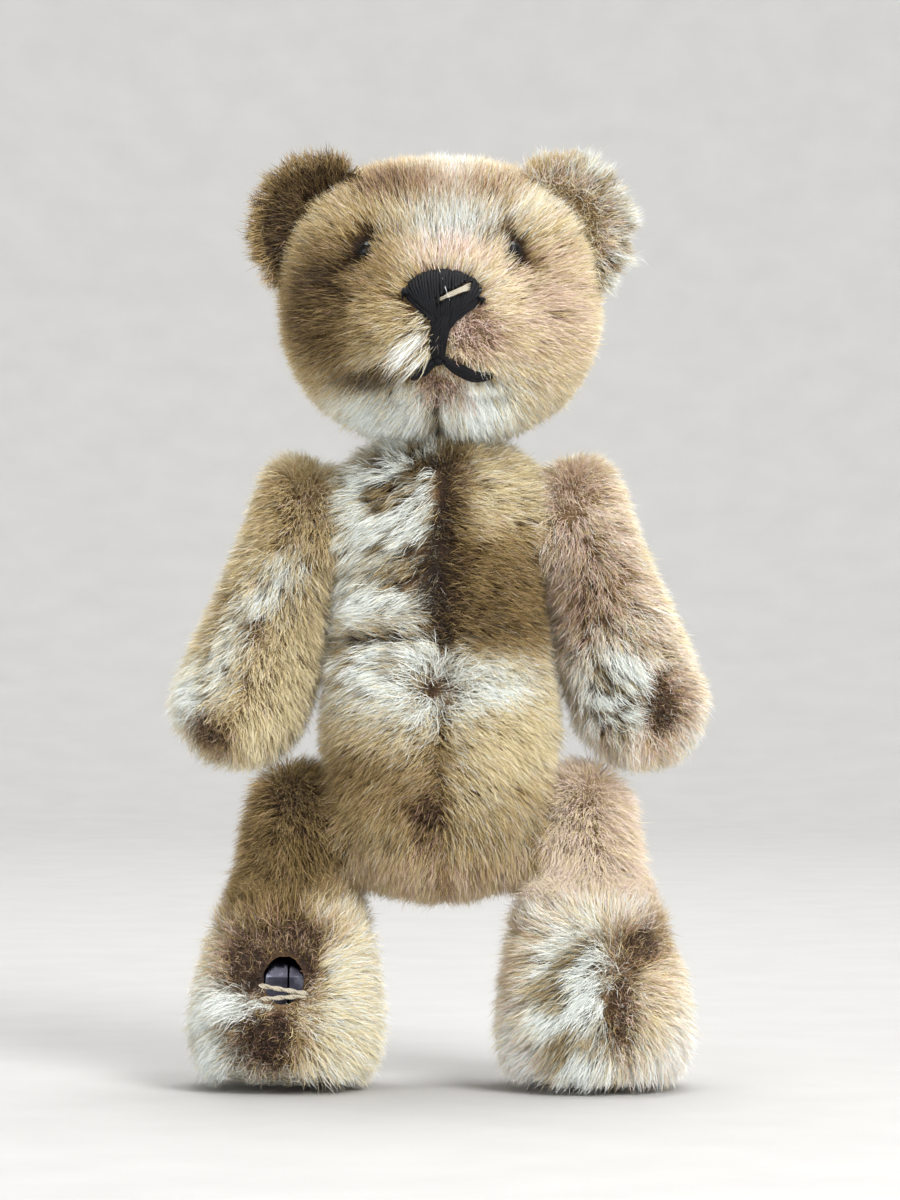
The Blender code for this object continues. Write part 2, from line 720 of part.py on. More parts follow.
# ---- worn toe -----------------------------------------------------------
TOE_HOLE_CENTRE = (-14.8, 10.6)     # x and height, on the right foot's toe
TOE_HOLE_HALF = (1.7, 2.3)
TOE_CUT_DEPTH = 9.0
TOE_STITCH_Y = -14.0
TOE_STITCH_SAG = 0.25
TOE_STITCH_RADIUS = 0.2
TOE_STITCH_STEPS = 4
TOE_STITCHES = (
    # name, x and height of each end
    ("toe_stitch_upper", (-16.2, 10.4), (-13.4, 9.9)),
    ("toe_stitch_lower", (-16.1, 9.3), (-13.5, 9.5)),
)


def build_worn_toe():
    """The hole worn in the right toe, and the two mending threads across it."""
    bm = bmesh.new()
    bmesh.ops.create_cone(
        bm, cap_ends=True, segments=FLAT_STEPS, radius1=1, radius2=1, depth=TOE_CUT_DEPTH,
        matrix=Matrix.Rotation(math.pi / 2, 4, "X"))
    centre_x, centre_z = TOE_HOLE_CENTRE
    for vert in bm.verts:
        vert.co = Vector((
            centre_x + TOE_HOLE_HALF[0] * vert.co.x,
            TOE_STITCH_Y + vert.co.y,
            centre_z + TOE_HOLE_HALF[1] * vert.co.z,
        ))
    hole = as_cutter(skin_object("toe_hole", bm))
    combine(bpy.data.objects["leg_right_cover"], hole)
    for name, start, finish in TOE_STITCHES:
        points = []
        for step in range(TOE_STITCH_STEPS + 1):
            t = step / TOE_STITCH_STEPS
            sag = TOE_STITCH_SAG * math.sin(math.pi * t)
            points.append((
                start[0] + (finish[0] - start[0]) * t,
                TOE_STITCH_Y - sag,
                start[1] + (finish[1] - start[1]) * t,
            ))
        wire(name, points, TOE_STITCH_RADIUS, "leg_right", "mending_thread")


# ---- assembly -----------------------------------------------------------
build_torso()
build_limb(
    "arm", ARM_FORM, (ARM_SEGMENTS, ARM_RINGS), SHOULDER_Z,
    (math.cos(ARM_LEAN), 0, math.sin(ARM_LEAN)), ARM_SPLIT_X, SHOULDER_PIN_HEAD)
build_limb(
    "leg", LEG_FORM, (LEG_SEGMENTS, LEG_RINGS), HIP_Z, (1, 0, 0), LEG_SPLIT_X, HIP_PIN_HEAD)
build_head()
for joint, joint_z, joint_seat, pin_head in (
    ("shoulder", SHOULDER_Z, SHOULDER_SEAT, SHOULDER_PIN_HEAD),
    ("hip", HIP_Z, HIP_SEAT, HIP_PIN_HEAD),
):
    build_joint_pin(joint, "left", 1, joint_z, joint_seat, pin_head)
    build_joint_pin(joint, "right", -1, joint_z, joint_seat, pin_head)
    build_tension_spring(joint, joint_z)
build_neck()
build_worn_toe()
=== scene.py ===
"""Looks of a small jointed mohair teddy bear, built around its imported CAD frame.

Sizes are millimetres until a mesh is made. The bear faces -Y and its left is +X.
"""

from functools import partial
import math

import bmesh
import bpy
import numpy as np
from mathutils import Matrix, Vector, noise
from mathutils.bvhtree import BVHTree


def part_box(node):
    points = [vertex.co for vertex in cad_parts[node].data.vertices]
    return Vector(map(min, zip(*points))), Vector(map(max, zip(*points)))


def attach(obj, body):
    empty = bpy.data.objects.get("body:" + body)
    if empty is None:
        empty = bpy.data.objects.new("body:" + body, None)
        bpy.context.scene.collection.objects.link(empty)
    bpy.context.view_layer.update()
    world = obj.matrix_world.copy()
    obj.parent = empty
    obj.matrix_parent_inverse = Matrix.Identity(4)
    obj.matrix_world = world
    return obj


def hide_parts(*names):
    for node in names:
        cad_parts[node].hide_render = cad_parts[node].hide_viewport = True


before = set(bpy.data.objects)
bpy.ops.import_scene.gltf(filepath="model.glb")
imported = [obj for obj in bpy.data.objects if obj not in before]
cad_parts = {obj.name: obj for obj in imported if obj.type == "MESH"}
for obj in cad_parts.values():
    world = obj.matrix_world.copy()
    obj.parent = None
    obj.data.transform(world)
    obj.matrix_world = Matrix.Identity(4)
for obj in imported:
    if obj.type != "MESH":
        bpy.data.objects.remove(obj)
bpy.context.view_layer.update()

MM = 0.001
BACKING_GROW = 0.6          # cloth backing, out from the steel shell
RAY_REACH = 45.0
MEDIAN_REACH = 2            # rays on each side that take out a seam or a pin hole
SMOOTH_ROUNDS = 5
MAX_STRANDS = 38000         # strands in one piece

# ---- colours ----------------------------------------------------------------
LEVELS = 6
RAMPS = (
    # name, darkest, middle, lightest (sRGB, 0 to 255)
    ("cream", (54, 42, 30), (194, 182, 154), (246, 251, 250)),
    ("gold", (54, 38, 19), (180, 152, 98), (247, 235, 196)),
    ("rose", (68, 44, 34), (198, 160, 138), (250, 232, 222)),
    ("silver", (56, 47, 37), (184, 182, 167), (248, 252, 247)),
)
CREAM, GOLD, ROSE, SILVER = range(4)
SHADE_ATTRIBUTE = "pile_shade"


def linear(colour):
    """sRGB from 0 to 255 as a linear colour with alpha."""
    scaled = [c / 255 for c in colour]
    return tuple(
        c / 12.92 if c <= 0.04045 else ((c + 0.055) / 1.055) ** 2.4 for c in scaled
    ) + (1.0,)


def mixed(first, second, share):
    return tuple(a + (b - a) * share for a, b in zip(first, second))


# ---- materials --------------------------------------------------------------
class Paint:
    """A Principled material and the shorthand to wire textures into it."""

    def __init__(self, name):
        self.material = bpy.data.materials.new(name)
        self.material.use_nodes = True
        self.tree = self.material.node_tree
        self.shader = self.tree.nodes["Principled BSDF"]

    def set(self, socket, value):
        self.shader.inputs[socket].default_value = value
        return self

    def node(self, kind, inputs=(), **settings):
        made = self.tree.nodes.new(kind)
        for key, value in settings.items():
            setattr(made, key, value)
        for socket, value in dict(inputs).items():
            if isinstance(value, bpy.types.NodeSocket):
                self.tree.links.new(value, made.inputs[socket])
            else:
                made.inputs[socket].default_value = value
        return made

    def place(self):
        return self.node("ShaderNodeTexCoord").outputs["Object"]

    def noise(self, scale, detail=6.0, rough=0.6, where=None):
        made = self.node("ShaderNodeTexNoise", {
            "Vector": where or self.place(), "Scale": scale,
            "Detail": detail, "Roughness": rough})
        return made.outputs["Fac"]

    def ramp(self, value, stops):
        made = self.node("ShaderNodeValToRGB", {"Fac": value})
        elements = made.color_ramp.elements
        while len(elements) < len(stops):
            elements.new(0.5)
        for element, (position, colour) in zip(elements, stops):
            element.position = position
            element.color = linear(colour)
        return made.outputs["Color"]

    def bump(self, height, strength, distance):
        made = self.node("ShaderNodeBump", {
            "Height": height, "Strength": strength, "Distance": distance})
        self.link(made.outputs["Normal"], "Normal")

    def link(self, output, socket):
        self.tree.links.new(output, self.shader.inputs[socket])

    def spread(self, value, low, high):
        made = self.node("ShaderNodeMapRange", {
            "Value": value, "To Min": low, "To Max": high})
        return made.outputs["Result"]


def mohair_material(name, colour):
    """One shade of the mohair. Its sheen varies along and between the hairs."""
    paint = Paint(name)
    paint.set("Base Color", colour).set("Roughness", 0.5).set("Specular IOR Level", 0.3)
    paint.link(paint.spread(paint.noise(900.0), 0.0, 0.2), "Sheen Weight")
    paint.set("Sheen Roughness", 0.4)
    return paint.material


def mohair_palette():
    palette = []
    for name, dark, middle, light in RAMPS:
        for level in range(LEVELS):
            share = 2 * level / (LEVELS - 1)
            colour = mixed(dark, middle, share) if share <= 1 else mixed(middle, light, share - 1)
            palette.append(mohair_material(f"mohair_{name}_{level}", linear(colour)))
    return palette


def backing_material():
    """Old woven cloth that the pile is fixed in, darker where the pile is dark: from its dirt and
    wear, and from the light and shade painted into the pile.
    """
    paint = Paint("mohair_backing")
    where = paint.place()
    threads = [
        paint.node("ShaderNodeTexWave", {
            "Vector": where, "Scale": 900.0, "Distortion": 1.5, "Detail": 2.0,
            "Detail Scale": 2.0}, bands_direction=way).outputs["Fac"]
        for way in ("X", "Z")
    ]
    cloth = paint.node("ShaderNodeMath", {0: threads[0], 1: threads[1]}, operation="MAXIMUM")
    dirt = paint.noise(420.0, 8.0, 0.7, where)
    # The pile's level at each point, with its painted light and shade included.
    shade = paint.node("ShaderNodeAttribute", attribute_name=SHADE_ATTRIBUTE).outputs["Fac"]
    uneven = paint.node("ShaderNodeMath", {
        0: paint.spread(dirt, -0.25, 0.25), 1: shade}, operation="ADD")
    lit = paint.node("ShaderNodeMath", {
        0: uneven.outputs[0], 1: paint.spread(cloth.outputs[0], 0.7, 1.1)},
        operation="MULTIPLY")
    paint.link(paint.ramp(lit.outputs[0], (
        (0.0, (34, 21, 12)), (0.35, (80, 57, 36)), (0.95, (150, 126, 92)))), "Base Color")
    paint.set("Roughness", 0.95)
    paint.bump(cloth.outputs[0], 0.6, 0.00008)
    return paint.material


def thread_material(name, dark, light):
    """Twisted cotton thread."""
    paint = Paint(name)
    where = paint.place()
    ply = paint.node("ShaderNodeTexWave", {
        "Vector": where, "Scale": 2400.0, "Distortion": 3.0, "Detail": 3.0},
        bands_direction="DIAGONAL")
    fluff = paint.noise(2200.0, 6.0, 0.7, where)
    both = paint.node("ShaderNodeMath", {
        0: ply.outputs["Fac"], 1: fluff}, operation="MULTIPLY")
    paint.link(paint.ramp(both.outputs[0], ((0.05, dark), (0.7, light))), "Base Color")
    paint.set("Roughness", 0.75).set("Specular IOR Level", 0.3)
    paint.bump(both.outputs[0], 0.5, 0.00005)
    return paint.material


def grained_material(name, grain, stops, roughness, bump=None, scratches=None,
                     metallic=0.0, specular=0.5):
    """A material whose colour, roughness and bump follow one noise.

    The grain is that noise's scale, detail and roughness. Scratches are a second noise,
    for the roughness alone.
    """
    paint = Paint(name)
    where = paint.place()
    value = paint.noise(*grain, where)
    paint.link(paint.ramp(value, stops), "Base Color")
    polish = paint.noise(*scratches, where) if scratches else value
    paint.link(paint.spread(polish, *roughness), "Roughness")
    paint.set("Metallic", metallic).set("Specular IOR Level", specular)
    if bump:
        paint.bump(value, *bump)
    return paint.material


PALETTE = mohair_palette()
BACKING = backing_material()
BLACK_THREAD = thread_material("black_nose_thread", (2, 2, 4), (20, 21, 29))
PALE_THREAD = thread_material("off_white_thread", (150, 138, 116), (240, 234, 216))
# Pressed sheet, darkened by age and bright where it is rubbed.
STEEL = grained_material(
    "pressed_steel", (320.0, 8.0, 0.65),
    ((0.3, (42, 38, 44)), (0.52, (88, 88, 102)), (0.7, (168, 172, 188))),
    (0.14, 0.34), (0.25, 0.00006), scratches=(1500.0, 4.0, 0.6), metallic=1.0)
# Drawn wire with a little brown rust.
WIRE = grained_material(
    "drawn_steel_wire", (900.0, 8.0, 0.7),
    ((0.35, (150, 150, 152)), (0.55, (120, 112, 104)), (0.72, (104, 64, 36))),
    (0.3, 0.7), (0.3, 0.00004), metallic=0.9)
FIBRE = grained_material(
    "pressed_fibre", (1300.0, 8.0, 0.75),
    ((0.3, (92, 74, 54)), (0.5, (134, 112, 84)), (0.7, (168, 146, 112))),
    (0.9, 0.9), (0.5, 0.00008))
# Black glass with faint dust.
BEAD = grained_material(
    "black_bead", (1800.0, 6.0, 0.6), ((0.45, (2, 2, 3)), (0.72, (9, 8, 9))),
    (0.2, 0.4), specular=0.25)
PAPER = grained_material(
    "studio_paper", (90.0, 4.0, 0.5), ((0.3, (193, 192, 190)), (0.7, (198, 197, 195))),
    (0.8, 0.8))


def linked(name, data):
    """A new object in the scene."""
    made = bpy.data.objects.new(name, data)
    bpy.context.scene.collection.objects.link(made)
    return made


# ---- numbers ----------------------------------------------------------------
def unit(vectors):
    lengths = np.linalg.norm(vectors, axis=-1, keepdims=True)
    return vectors / np.maximum(lengths, 1e-9)


def rise(value, low, high):
    """0 below low, 1 above high, smooth between. High may be under low."""
    t = np.clip((value - low) / (high - low), 0.0, 1.0)
    return t * t * (3 - 2 * t)


def bell(value, reach):
    """1 where the value is 0, fading out over the reach."""
    return np.exp(-(value / reach) ** 2)


def stacked(*columns):
    """Vectors from three columns, of which some may be plain numbers."""
    return np.stack(np.broadcast_arrays(*columns), axis=1).astype(float)


def spot(p, x, z, reach_x, reach_z, strength=1.0):
    """1 at (x, z) seen from the front, fading out over the reaches.

    More strength widens the middle that is 1.
    """
    fade = np.exp(-((p[:, 0] - x) / reach_x) ** 2 - ((p[:, 2] - z) / reach_z) ** 2)
    return np.minimum(strength * fade, 1.0)


def patchy(p, size, seed, stretch=(1.0, 1.0, 1.0)):
    """Smooth noise from about -1 to 1 with patches of that size."""
    scaled = p / size / np.array(stretch) + seed
    return 1.6 * np.array([noise.noise(Vector(point)) for point in scaled])


def streaky(p, way, seed):
    """Patchy noise drawn out along a direction (x, z) seen from the front."""
    way_x, way_z = np.array(way) / math.hypot(*way)
    turned = stacked(p[:, 0] * way_x + p[:, 2] * way_z, p[:, 1],
                     p[:, 2] * way_x - p[:, 0] * way_z)
    return patchy(turned, 1.0, seed, (3.6, 2.0, 0.7))


def rays(p, x, z, seed):
    """Patchy noise drawn out along lines that run from the point (x, z)."""
    angle = np.arctan2(p[:, 2] - z, p[:, 0] - x)
    reach = np.hypot(p[:, 0] - x, p[:, 2] - z)
    return patchy(stacked(np.cos(angle), np.sin(angle), reach / 22.0), 0.17, seed)


def between(angle, first, second):
    """Vectors at an angle from the first towards the second."""
    return np.cos(angle)[:, None] * first + np.sin(angle)[:, None] * second


def pull(values, towards, share):
    return values + (towards - values) * np.clip(share, 0.0, 1.0)


# ---- skins ------------------------------------------------------------------
def shell_tree(names):
    verts, faces = [], []
    for name in names:
        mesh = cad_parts[name].data
        first = len(verts)
        verts.extend(vert.co / MM for vert in mesh.vertices)
        faces.extend([first + i for i in face.vertices] for face in mesh.polygons)
    return BVHTree.FromPolygons(verts, faces)


def ray_rows(spine, end_rows, middle_rows):
    """(centre, elevation) of each row of rays, from the lowest to the highest."""
    points = np.array(spine, float)
    heights = points[:, 2]

    def centre_at(z):
        return Vector((np.interp(z, heights, points[:, 0]),
                       np.interp(z, heights, points[:, 1]), z))

    quarter = math.pi / 2
    rows = [(centre_at(heights[0]), -quarter * (1 - i / end_rows)) for i in range(end_rows)]
    rows += [(centre_at(z), 0.0) for z in np.linspace(heights[0], heights[-1], middle_rows)]
    rows += [(centre_at(heights[-1]), quarter * (i + 1) / end_rows) for i in range(end_rows)]
    return rows


def mended(radii):
    """Fills the rays that met an opening, from the nearest row towards the middle."""
    middle = len(radii) // 2
    upwards = range(middle, len(radii))
    downwards = range(middle, -1, -1)
    for order in (upwards, downwards):
        for row in order:
            gaps = np.isnan(radii[row])
            if not gaps.all():
                known = np.nanmean(radii[row])
            radii[row, gaps] = known
    return radii


def filtered(radii):
    """Closes the seams and pin holes that single rays fell into, then smooths."""
    radii = mended(radii)

    def moved(up, around=0):
        rows = np.clip(np.arange(len(radii)) + up, 0, len(radii) - 1)
        return np.roll(radii[rows], around, axis=1)

    near = range(-MEDIAN_REACH, MEDIAN_REACH + 1)
    radii = np.nanmedian(np.array([moved(up, around) for up in near for around in near]), axis=0)
    for _ in range(SMOOTH_ROUNDS):
        beside = moved(0, 1) + moved(0, -1)
        radii = (2 * radii + moved(1) + moved(-1) + beside) / 6
    for end in (0, -1):
        radii[end] = radii[end].mean()
    return radii


def grid_mesh(name, points):
    """A closed mesh over rows of points whose first and last rows are poles."""
    rows, columns = points.shape[:2]
    verts = [points[0, 0]] + list(points[1:-1].reshape(-1, 3)) + [points[-1, 0]]
    last = len(verts) - 1
    faces = []

    def at(row, column):
        return 1 + (row - 1) * columns + column % columns

    for column in range(columns):
        faces.append((0, at(1, column + 1), at(1, column)))
        faces.append((last, at(rows - 2, column), at(rows - 2, column + 1)))
        for row in range(1, rows - 2):
            faces.append((at(row, column), at(row, column + 1),
                          at(row + 1, column + 1), at(row + 1, column)))
    mesh = bpy.data.meshes.new(name)
    mesh.from_pydata([Vector(v) for v in verts], [], faces)
    mesh.update()
    return mesh


def skin_points(mesh):
    co = np.empty(len(mesh.vertices) * 3)
    mesh.vertices.foreach_get("co", co)
    normals = np.empty(len(mesh.vertices) * 3, np.float32)
    mesh.vertex_normals.foreach_get("vector", normals)
    return co.reshape(-1, 3), normals.reshape(-1, 3).astype(float)


def move_points(mesh, co):
    mesh.vertices.foreach_set("co", co.ravel())
    mesh.update()


def made_skin(name, shells, spine, end_rows, middle_rows, columns):
    """The cloth backing of one part, a smooth skin just outside its steel shells."""
    tree = shell_tree(shells)
    rows = ray_rows(spine, end_rows, middle_rows)
    angles = [2 * math.pi * c / columns for c in range(columns)]
    radii = np.full((len(rows), columns), np.nan)
    directions = np.zeros((len(rows), columns, 3))
    for r, (centre, elevation) in enumerate(rows):
        for c, angle in enumerate(angles):
            direction = Vector((
                math.cos(elevation) * math.cos(angle),
                math.cos(elevation) * math.sin(angle), math.sin(elevation)))
            hit = tree.ray_cast(centre + direction * RAY_REACH, -direction, RAY_REACH)[0]
            directions[r, c] = direction
            if hit:
                radii[r, c] = (hit - centre).length
    centres = np.array([centre for centre, _ in rows])
    points = centres[:, None, :] + directions * filtered(radii)[:, :, None]
    mesh = grid_mesh(name, points)
    co, normals = skin_points(mesh)
    move_points(mesh, co + normals * BACKING_GROW)
    return mesh


def mirrored(mesh, name):
    copy = mesh.copy()
    copy.name = name
    co, _ = skin_points(copy)
    co[:, 0] *= -1
    copy.flip_normals()
    move_points(copy, co)
    return copy


def scattered(mesh, density, rng):
    """Random points over a mesh and their normals, so many to the square mm."""
    mesh.calc_loop_triangles()
    co, normals = skin_points(mesh)
    corners = np.empty(len(mesh.loop_triangles) * 3, np.int32)
    mesh.loop_triangles.foreach_get("vertices", corners)
    corners = corners.reshape(-1, 3)
    a, b, c = (co[corners[:, i]] for i in range(3))
    areas = np.linalg.norm(np.cross(b - a, c - a), axis=1) / 2
    count = int(areas.sum() * density)
    chosen = rng.choice(len(corners), size=count, p=areas / areas.sum())
    u, v = rng.random(count), rng.random(count)
    over = u + v > 1
    u[over], v[over] = 1 - u[over], 1 - v[over]
    weights = np.stack([1 - u - v, u, v], axis=1)
    points = np.einsum("ij,ijk->ik", weights, co[corners[chosen]])
    facing = unit(np.einsum("ij,ijk->ik", weights, normals[corners[chosen]]))
    return points, facing


# ---- fur --------------------------------------------------------------------
# The pile where no style changes it.
PLAIN_PILE = {
    "lift": 63.0,       # degrees off the cloth, on average
    "length": 2.5,
    "level": 3.9,       # 0 dark to 5 nearly white
    "roots": -0.7,      # change of level at the roots
    "mottle": 0.4,      # spread of level between hairs
    "gold": 0.7,        # chance of the gold shades
    "rose": 0.05,       # chance of the rose shades
    "silver": 0.0,      # chance of the silver shades
    "fan": 14.0,        # degrees of spread in a tuft
    "tight": 0.14,      # how far a tuft draws together
    "reach": 0.95,      # how far from its middle a tuft's hairs start
    "curl": 0.11,       # how crooked the hairs are
    "keep": 1.0,        # share of the hairs left
}


class Look:
    """How the pile lies and is coloured at each tuft. Every value is an array."""

    def __init__(self, p):
        self.p = p
        self.flow = np.tile((0.0, 0.0, -1.0), (len(p), 1))
        for name, value in PLAIN_PILE.items():
            setattr(self, name, np.full(len(p), value))

    def shift(self, share, **targets):
        """Moves the named values towards their targets, by a share at each tuft."""
        for name, target in targets.items():
            setattr(self, name, pull(getattr(self, name), target, share))

    def dab(self, share, place, **targets):
        """A shift in one spot, whose place is the arguments of spot after p."""
        self.shift(share * spot(self.p, *place), **targets)

    def lay(self, towards, share):
        """Turns the flow to another direction, by a share at each tuft."""
        share = np.clip(share, 0.0, 1.0)[:, None]
        towards = unit(np.broadcast_to(towards, self.flow.shape))
        self.flow = unit(self.flow) * (1 - share) + towards * share

    def ruffle(self, amount, seed=0.0):
        """Turns the flow a little, in patches."""
        ways = (patchy(self.p, 4.5, seed + way) for way in (3.0, 9.0, 17.0))
        self.flow = unit(self.flow) + amount * stacked(*ways)

    def comb(self, share, locks, level, gaps=1.0):
        """Pile combed into shiny white locks with dark gaps between them. The white is partly a
        painted sheen highlight along the combed hairs, and the dark gaps are partly painted shade
        between the locks.
        """
        self.shift(share, gold=0.0, rose=0.0, silver=0.8, tight=0.85, reach=0.6, fan=7.0, lift=42.0,
                   roots=-2.4, mottle=0.5, length=3.1, level=level + 0.2 * locks)
        # Painted shade, partly: the gaps between the locks are darkened.
        self.shift(gaps * share * rise(locks, 0.1, -0.4), level=1.4, length=2.0, gold=0.7)

    def wear(self, share, locks, level):
        """Pile rubbed down to short, dark, crooked ends."""
        self.shift(share, level=level + 0.7 * locks, length=0.85, fan=100.0, lift=52.0,
                   tight=0.0, reach=0.6, mottle=1.1, roots=-0.3, rose=0.45, curl=0.6,
                   keep=0.75)


SEGMENTS = 3
HALF_WIDTHS = (0.022, 0.028, 0.021)
BENDS = (22.0, 0.0, -20.0)  # degrees that each segment rises over the hair's lift
ROOT_DEPTH = 0.12
TUFTS_PER_MM2 = 3.4
HAIRS_PER_TUFT = 16
LIFT_SPREAD = 9.0           # degrees
TWIST_SPREAD = math.radians(38.0)
STRAY_SHARE = 0.06
STRAY_TURN = 2.6            # times as far as the others turn
STRAY_LENGTH = 1.15
LOWEST = 0.02               # no hair reaches under the floor


def strand_mesh(name, points, sides, colours):
    """Flat tapering hairs. points is (hairs, 4, 3); colours is (hairs, 3)."""
    count = len(points)
    verts = np.empty((count, 7, 3))
    for k in range(SEGMENTS):
        offset = sides[:, k] * HALF_WIDTHS[k]
        verts[:, 2 * k] = points[:, k] - offset
        verts[:, 2 * k + 1] = points[:, k] + offset
    verts[:, 6] = points[:, SEGMENTS]
    pattern = np.array([0, 1, 3, 2, 2, 3, 5, 4, 4, 5, 6])
    loops = (np.arange(count)[:, None] * 7 + pattern[None, :]).ravel()
    starts = (np.arange(count)[:, None] * 11 + np.array([0, 4, 8])[None, :]).ravel()
    mesh = bpy.data.meshes.new(name)
    mesh.vertices.add(count * 7)
    mesh.vertices.foreach_set("co", (verts * MM).ravel())
    mesh.loops.add(len(loops))
    mesh.loops.foreach_set("vertex_index", loops.astype(np.int32))
    mesh.polygons.add(count * SEGMENTS)
    mesh.polygons.foreach_set("loop_start", starts.astype(np.int32))
    mesh.polygons.foreach_set("material_index", colours.ravel().astype(np.int32))
    for material in PALETTE:
        mesh.materials.append(material)
    mesh.update(calc_edges=True)
    return mesh


def grown(p, n, look, rng, hairs):
    """The centre lines, width directions and colours of every hair on the tufts."""
    flow = look.flow - n * np.sum(look.flow * n, axis=1, keepdims=True)
    along = unit(flow)
    across = np.cross(n, along)
    kept = rng.random((len(p), hairs)) < look.keep[:, None]
    tuft = np.repeat(np.arange(len(p)), hairs)[kept.ravel()]
    count = len(tuft)
    radius = look.reach[tuft] * np.sqrt(rng.random(count))
    around = 2 * math.pi * rng.random(count)
    offset = radius[:, None] * between(around, along[tuft], across[tuft])
    stray = rng.random(count) < STRAY_SHARE
    turn = np.radians(look.fan[tuft]) * rng.standard_normal(count)
    turn[stray] *= STRAY_TURN
    heading = between(turn, along[tuft], across[tuft])
    lift = look.lift[tuft] + LIFT_SPREAD * rng.standard_normal(count)
    length = look.length[tuft] * rng.uniform(0.78, 1.1, count)
    length[stray] *= STRAY_LENGTH
    draw = look.tight[tuft]
    draw[stray] = 0.0
    points = np.empty((count, SEGMENTS + 1, 3))
    points[:, 0] = p[tuft] + offset - ROOT_DEPTH * n[tuft]
    sides = np.empty((count, SEGMENTS, 3))
    twist = TWIST_SPREAD * rng.standard_normal(count)
    for k, bend in enumerate(BENDS):
        angle = np.radians(np.clip(lift + bend, 2.0, 88.0))
        step = between(angle, heading, n[tuft])
        step += look.curl[tuft][:, None] * rng.standard_normal((count, 3))
        points[:, k + 1] = points[:, k] + step * (length / SEGMENTS)[:, None]
        flat = unit(np.cross(step, n[tuft]))
        sides[:, k] = between(twist, flat, unit(np.cross(step, flat)))
    for k in range(1, SEGMENTS + 1):
        share = draw * (k / SEGMENTS) ** 1.4
        points[:, k] -= offset * share[:, None]
    np.maximum(points[:, :, 2], LOWEST, out=points[:, :, 2])
    unlike = rng.standard_normal(count) + 0.6 * rng.standard_normal(len(p))[tuft]
    level = look.level[tuft] + look.mottle[tuft] * unlike
    shade = rng.random(count)
    ramp = np.full(count, CREAM)
    chance = (look.rose + look.gold + look.silver)[tuft]
    for kind, share in ((SILVER, look.silver), (GOLD, look.gold), (ROSE, look.rose)):
        ramp[shade < chance] = kind
        chance -= share[tuft]
    roots = look.roots[tuft]
    colours = np.empty((count, SEGMENTS), int)
    for k, change in enumerate((roots, 0.2 * roots, 0.4)):
        step = np.clip(np.rint(level + change), 0, LEVELS - 1).astype(int)
        colours[:, k] = ramp * LEVELS + step
    return points, sides, colours


def add_object(name, mesh, body):
    made = linked(name, mesh)
    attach(made, body)
    return made


def add_fur(name, skin, body, style, seed):
    rng = np.random.default_rng(seed)
    p, n = scattered(skin, TUFTS_PER_MM2, rng)
    order = np.argsort(p[:, 1])
    p, n = p[order], n[order]
    hairs = HAIRS_PER_TUFT
    points, sides, colours = grown(p, n, style(p, n), rng, hairs)
    pieces = max(1, math.ceil(len(points) / MAX_STRANDS))
    for i, chosen in enumerate(np.array_split(np.arange(len(points)), pieces)):
        mesh = strand_mesh(f"{name}_{i + 1}", points[chosen], sides[chosen], colours[chosen])
        add_object(f"{name}_{i + 1}", mesh, body)


# ---- how the pile lies on each part ----------------------------------------
AXIS_Y = 3.1
SHOULDER_Z = 54.0
HIP_Z = 25.0
WASHER_REACH = 3.9
SEAT_EDGE = (5.4, 4.0)      # where the flat seat of a joint starts and is reached


def bare_under_washer(look, p, facing, joint_z):
    """No pile under a joint's washer."""
    reach = np.hypot(p[:, 1] - AXIS_Y, p[:, 2] - joint_z)
    look.keep[(reach < WASHER_REACH) & (facing > 0.3)] = 0.0


def seat_out(mesh, seats, on_limb=False):
    """Brings the cloth out to the flat seats (height, x) that the washers lie against.

    A left limb has its seat on the side that faces the torso, which has one on each side.
    """
    co, normals = skin_points(mesh)
    facing = normals[:, 0]
    for joint_z, seat_x in seats:
        reach = np.hypot(co[:, 1] - AXIS_Y, co[:, 2] - joint_z)
        share = rise(reach, *SEAT_EDGE) * rise(np.abs(facing), 0.3, 0.6)
        if on_limb:
            co[:, 0] = pull(co[:, 0], seat_x, share * (facing < 0))
        else:
            co[:, 0] = pull(co[:, 0], np.sign(facing) * seat_x, share)
    move_points(mesh, co)


CREASE_Z = 42.9
SWIRL = (-0.8, 38.4)


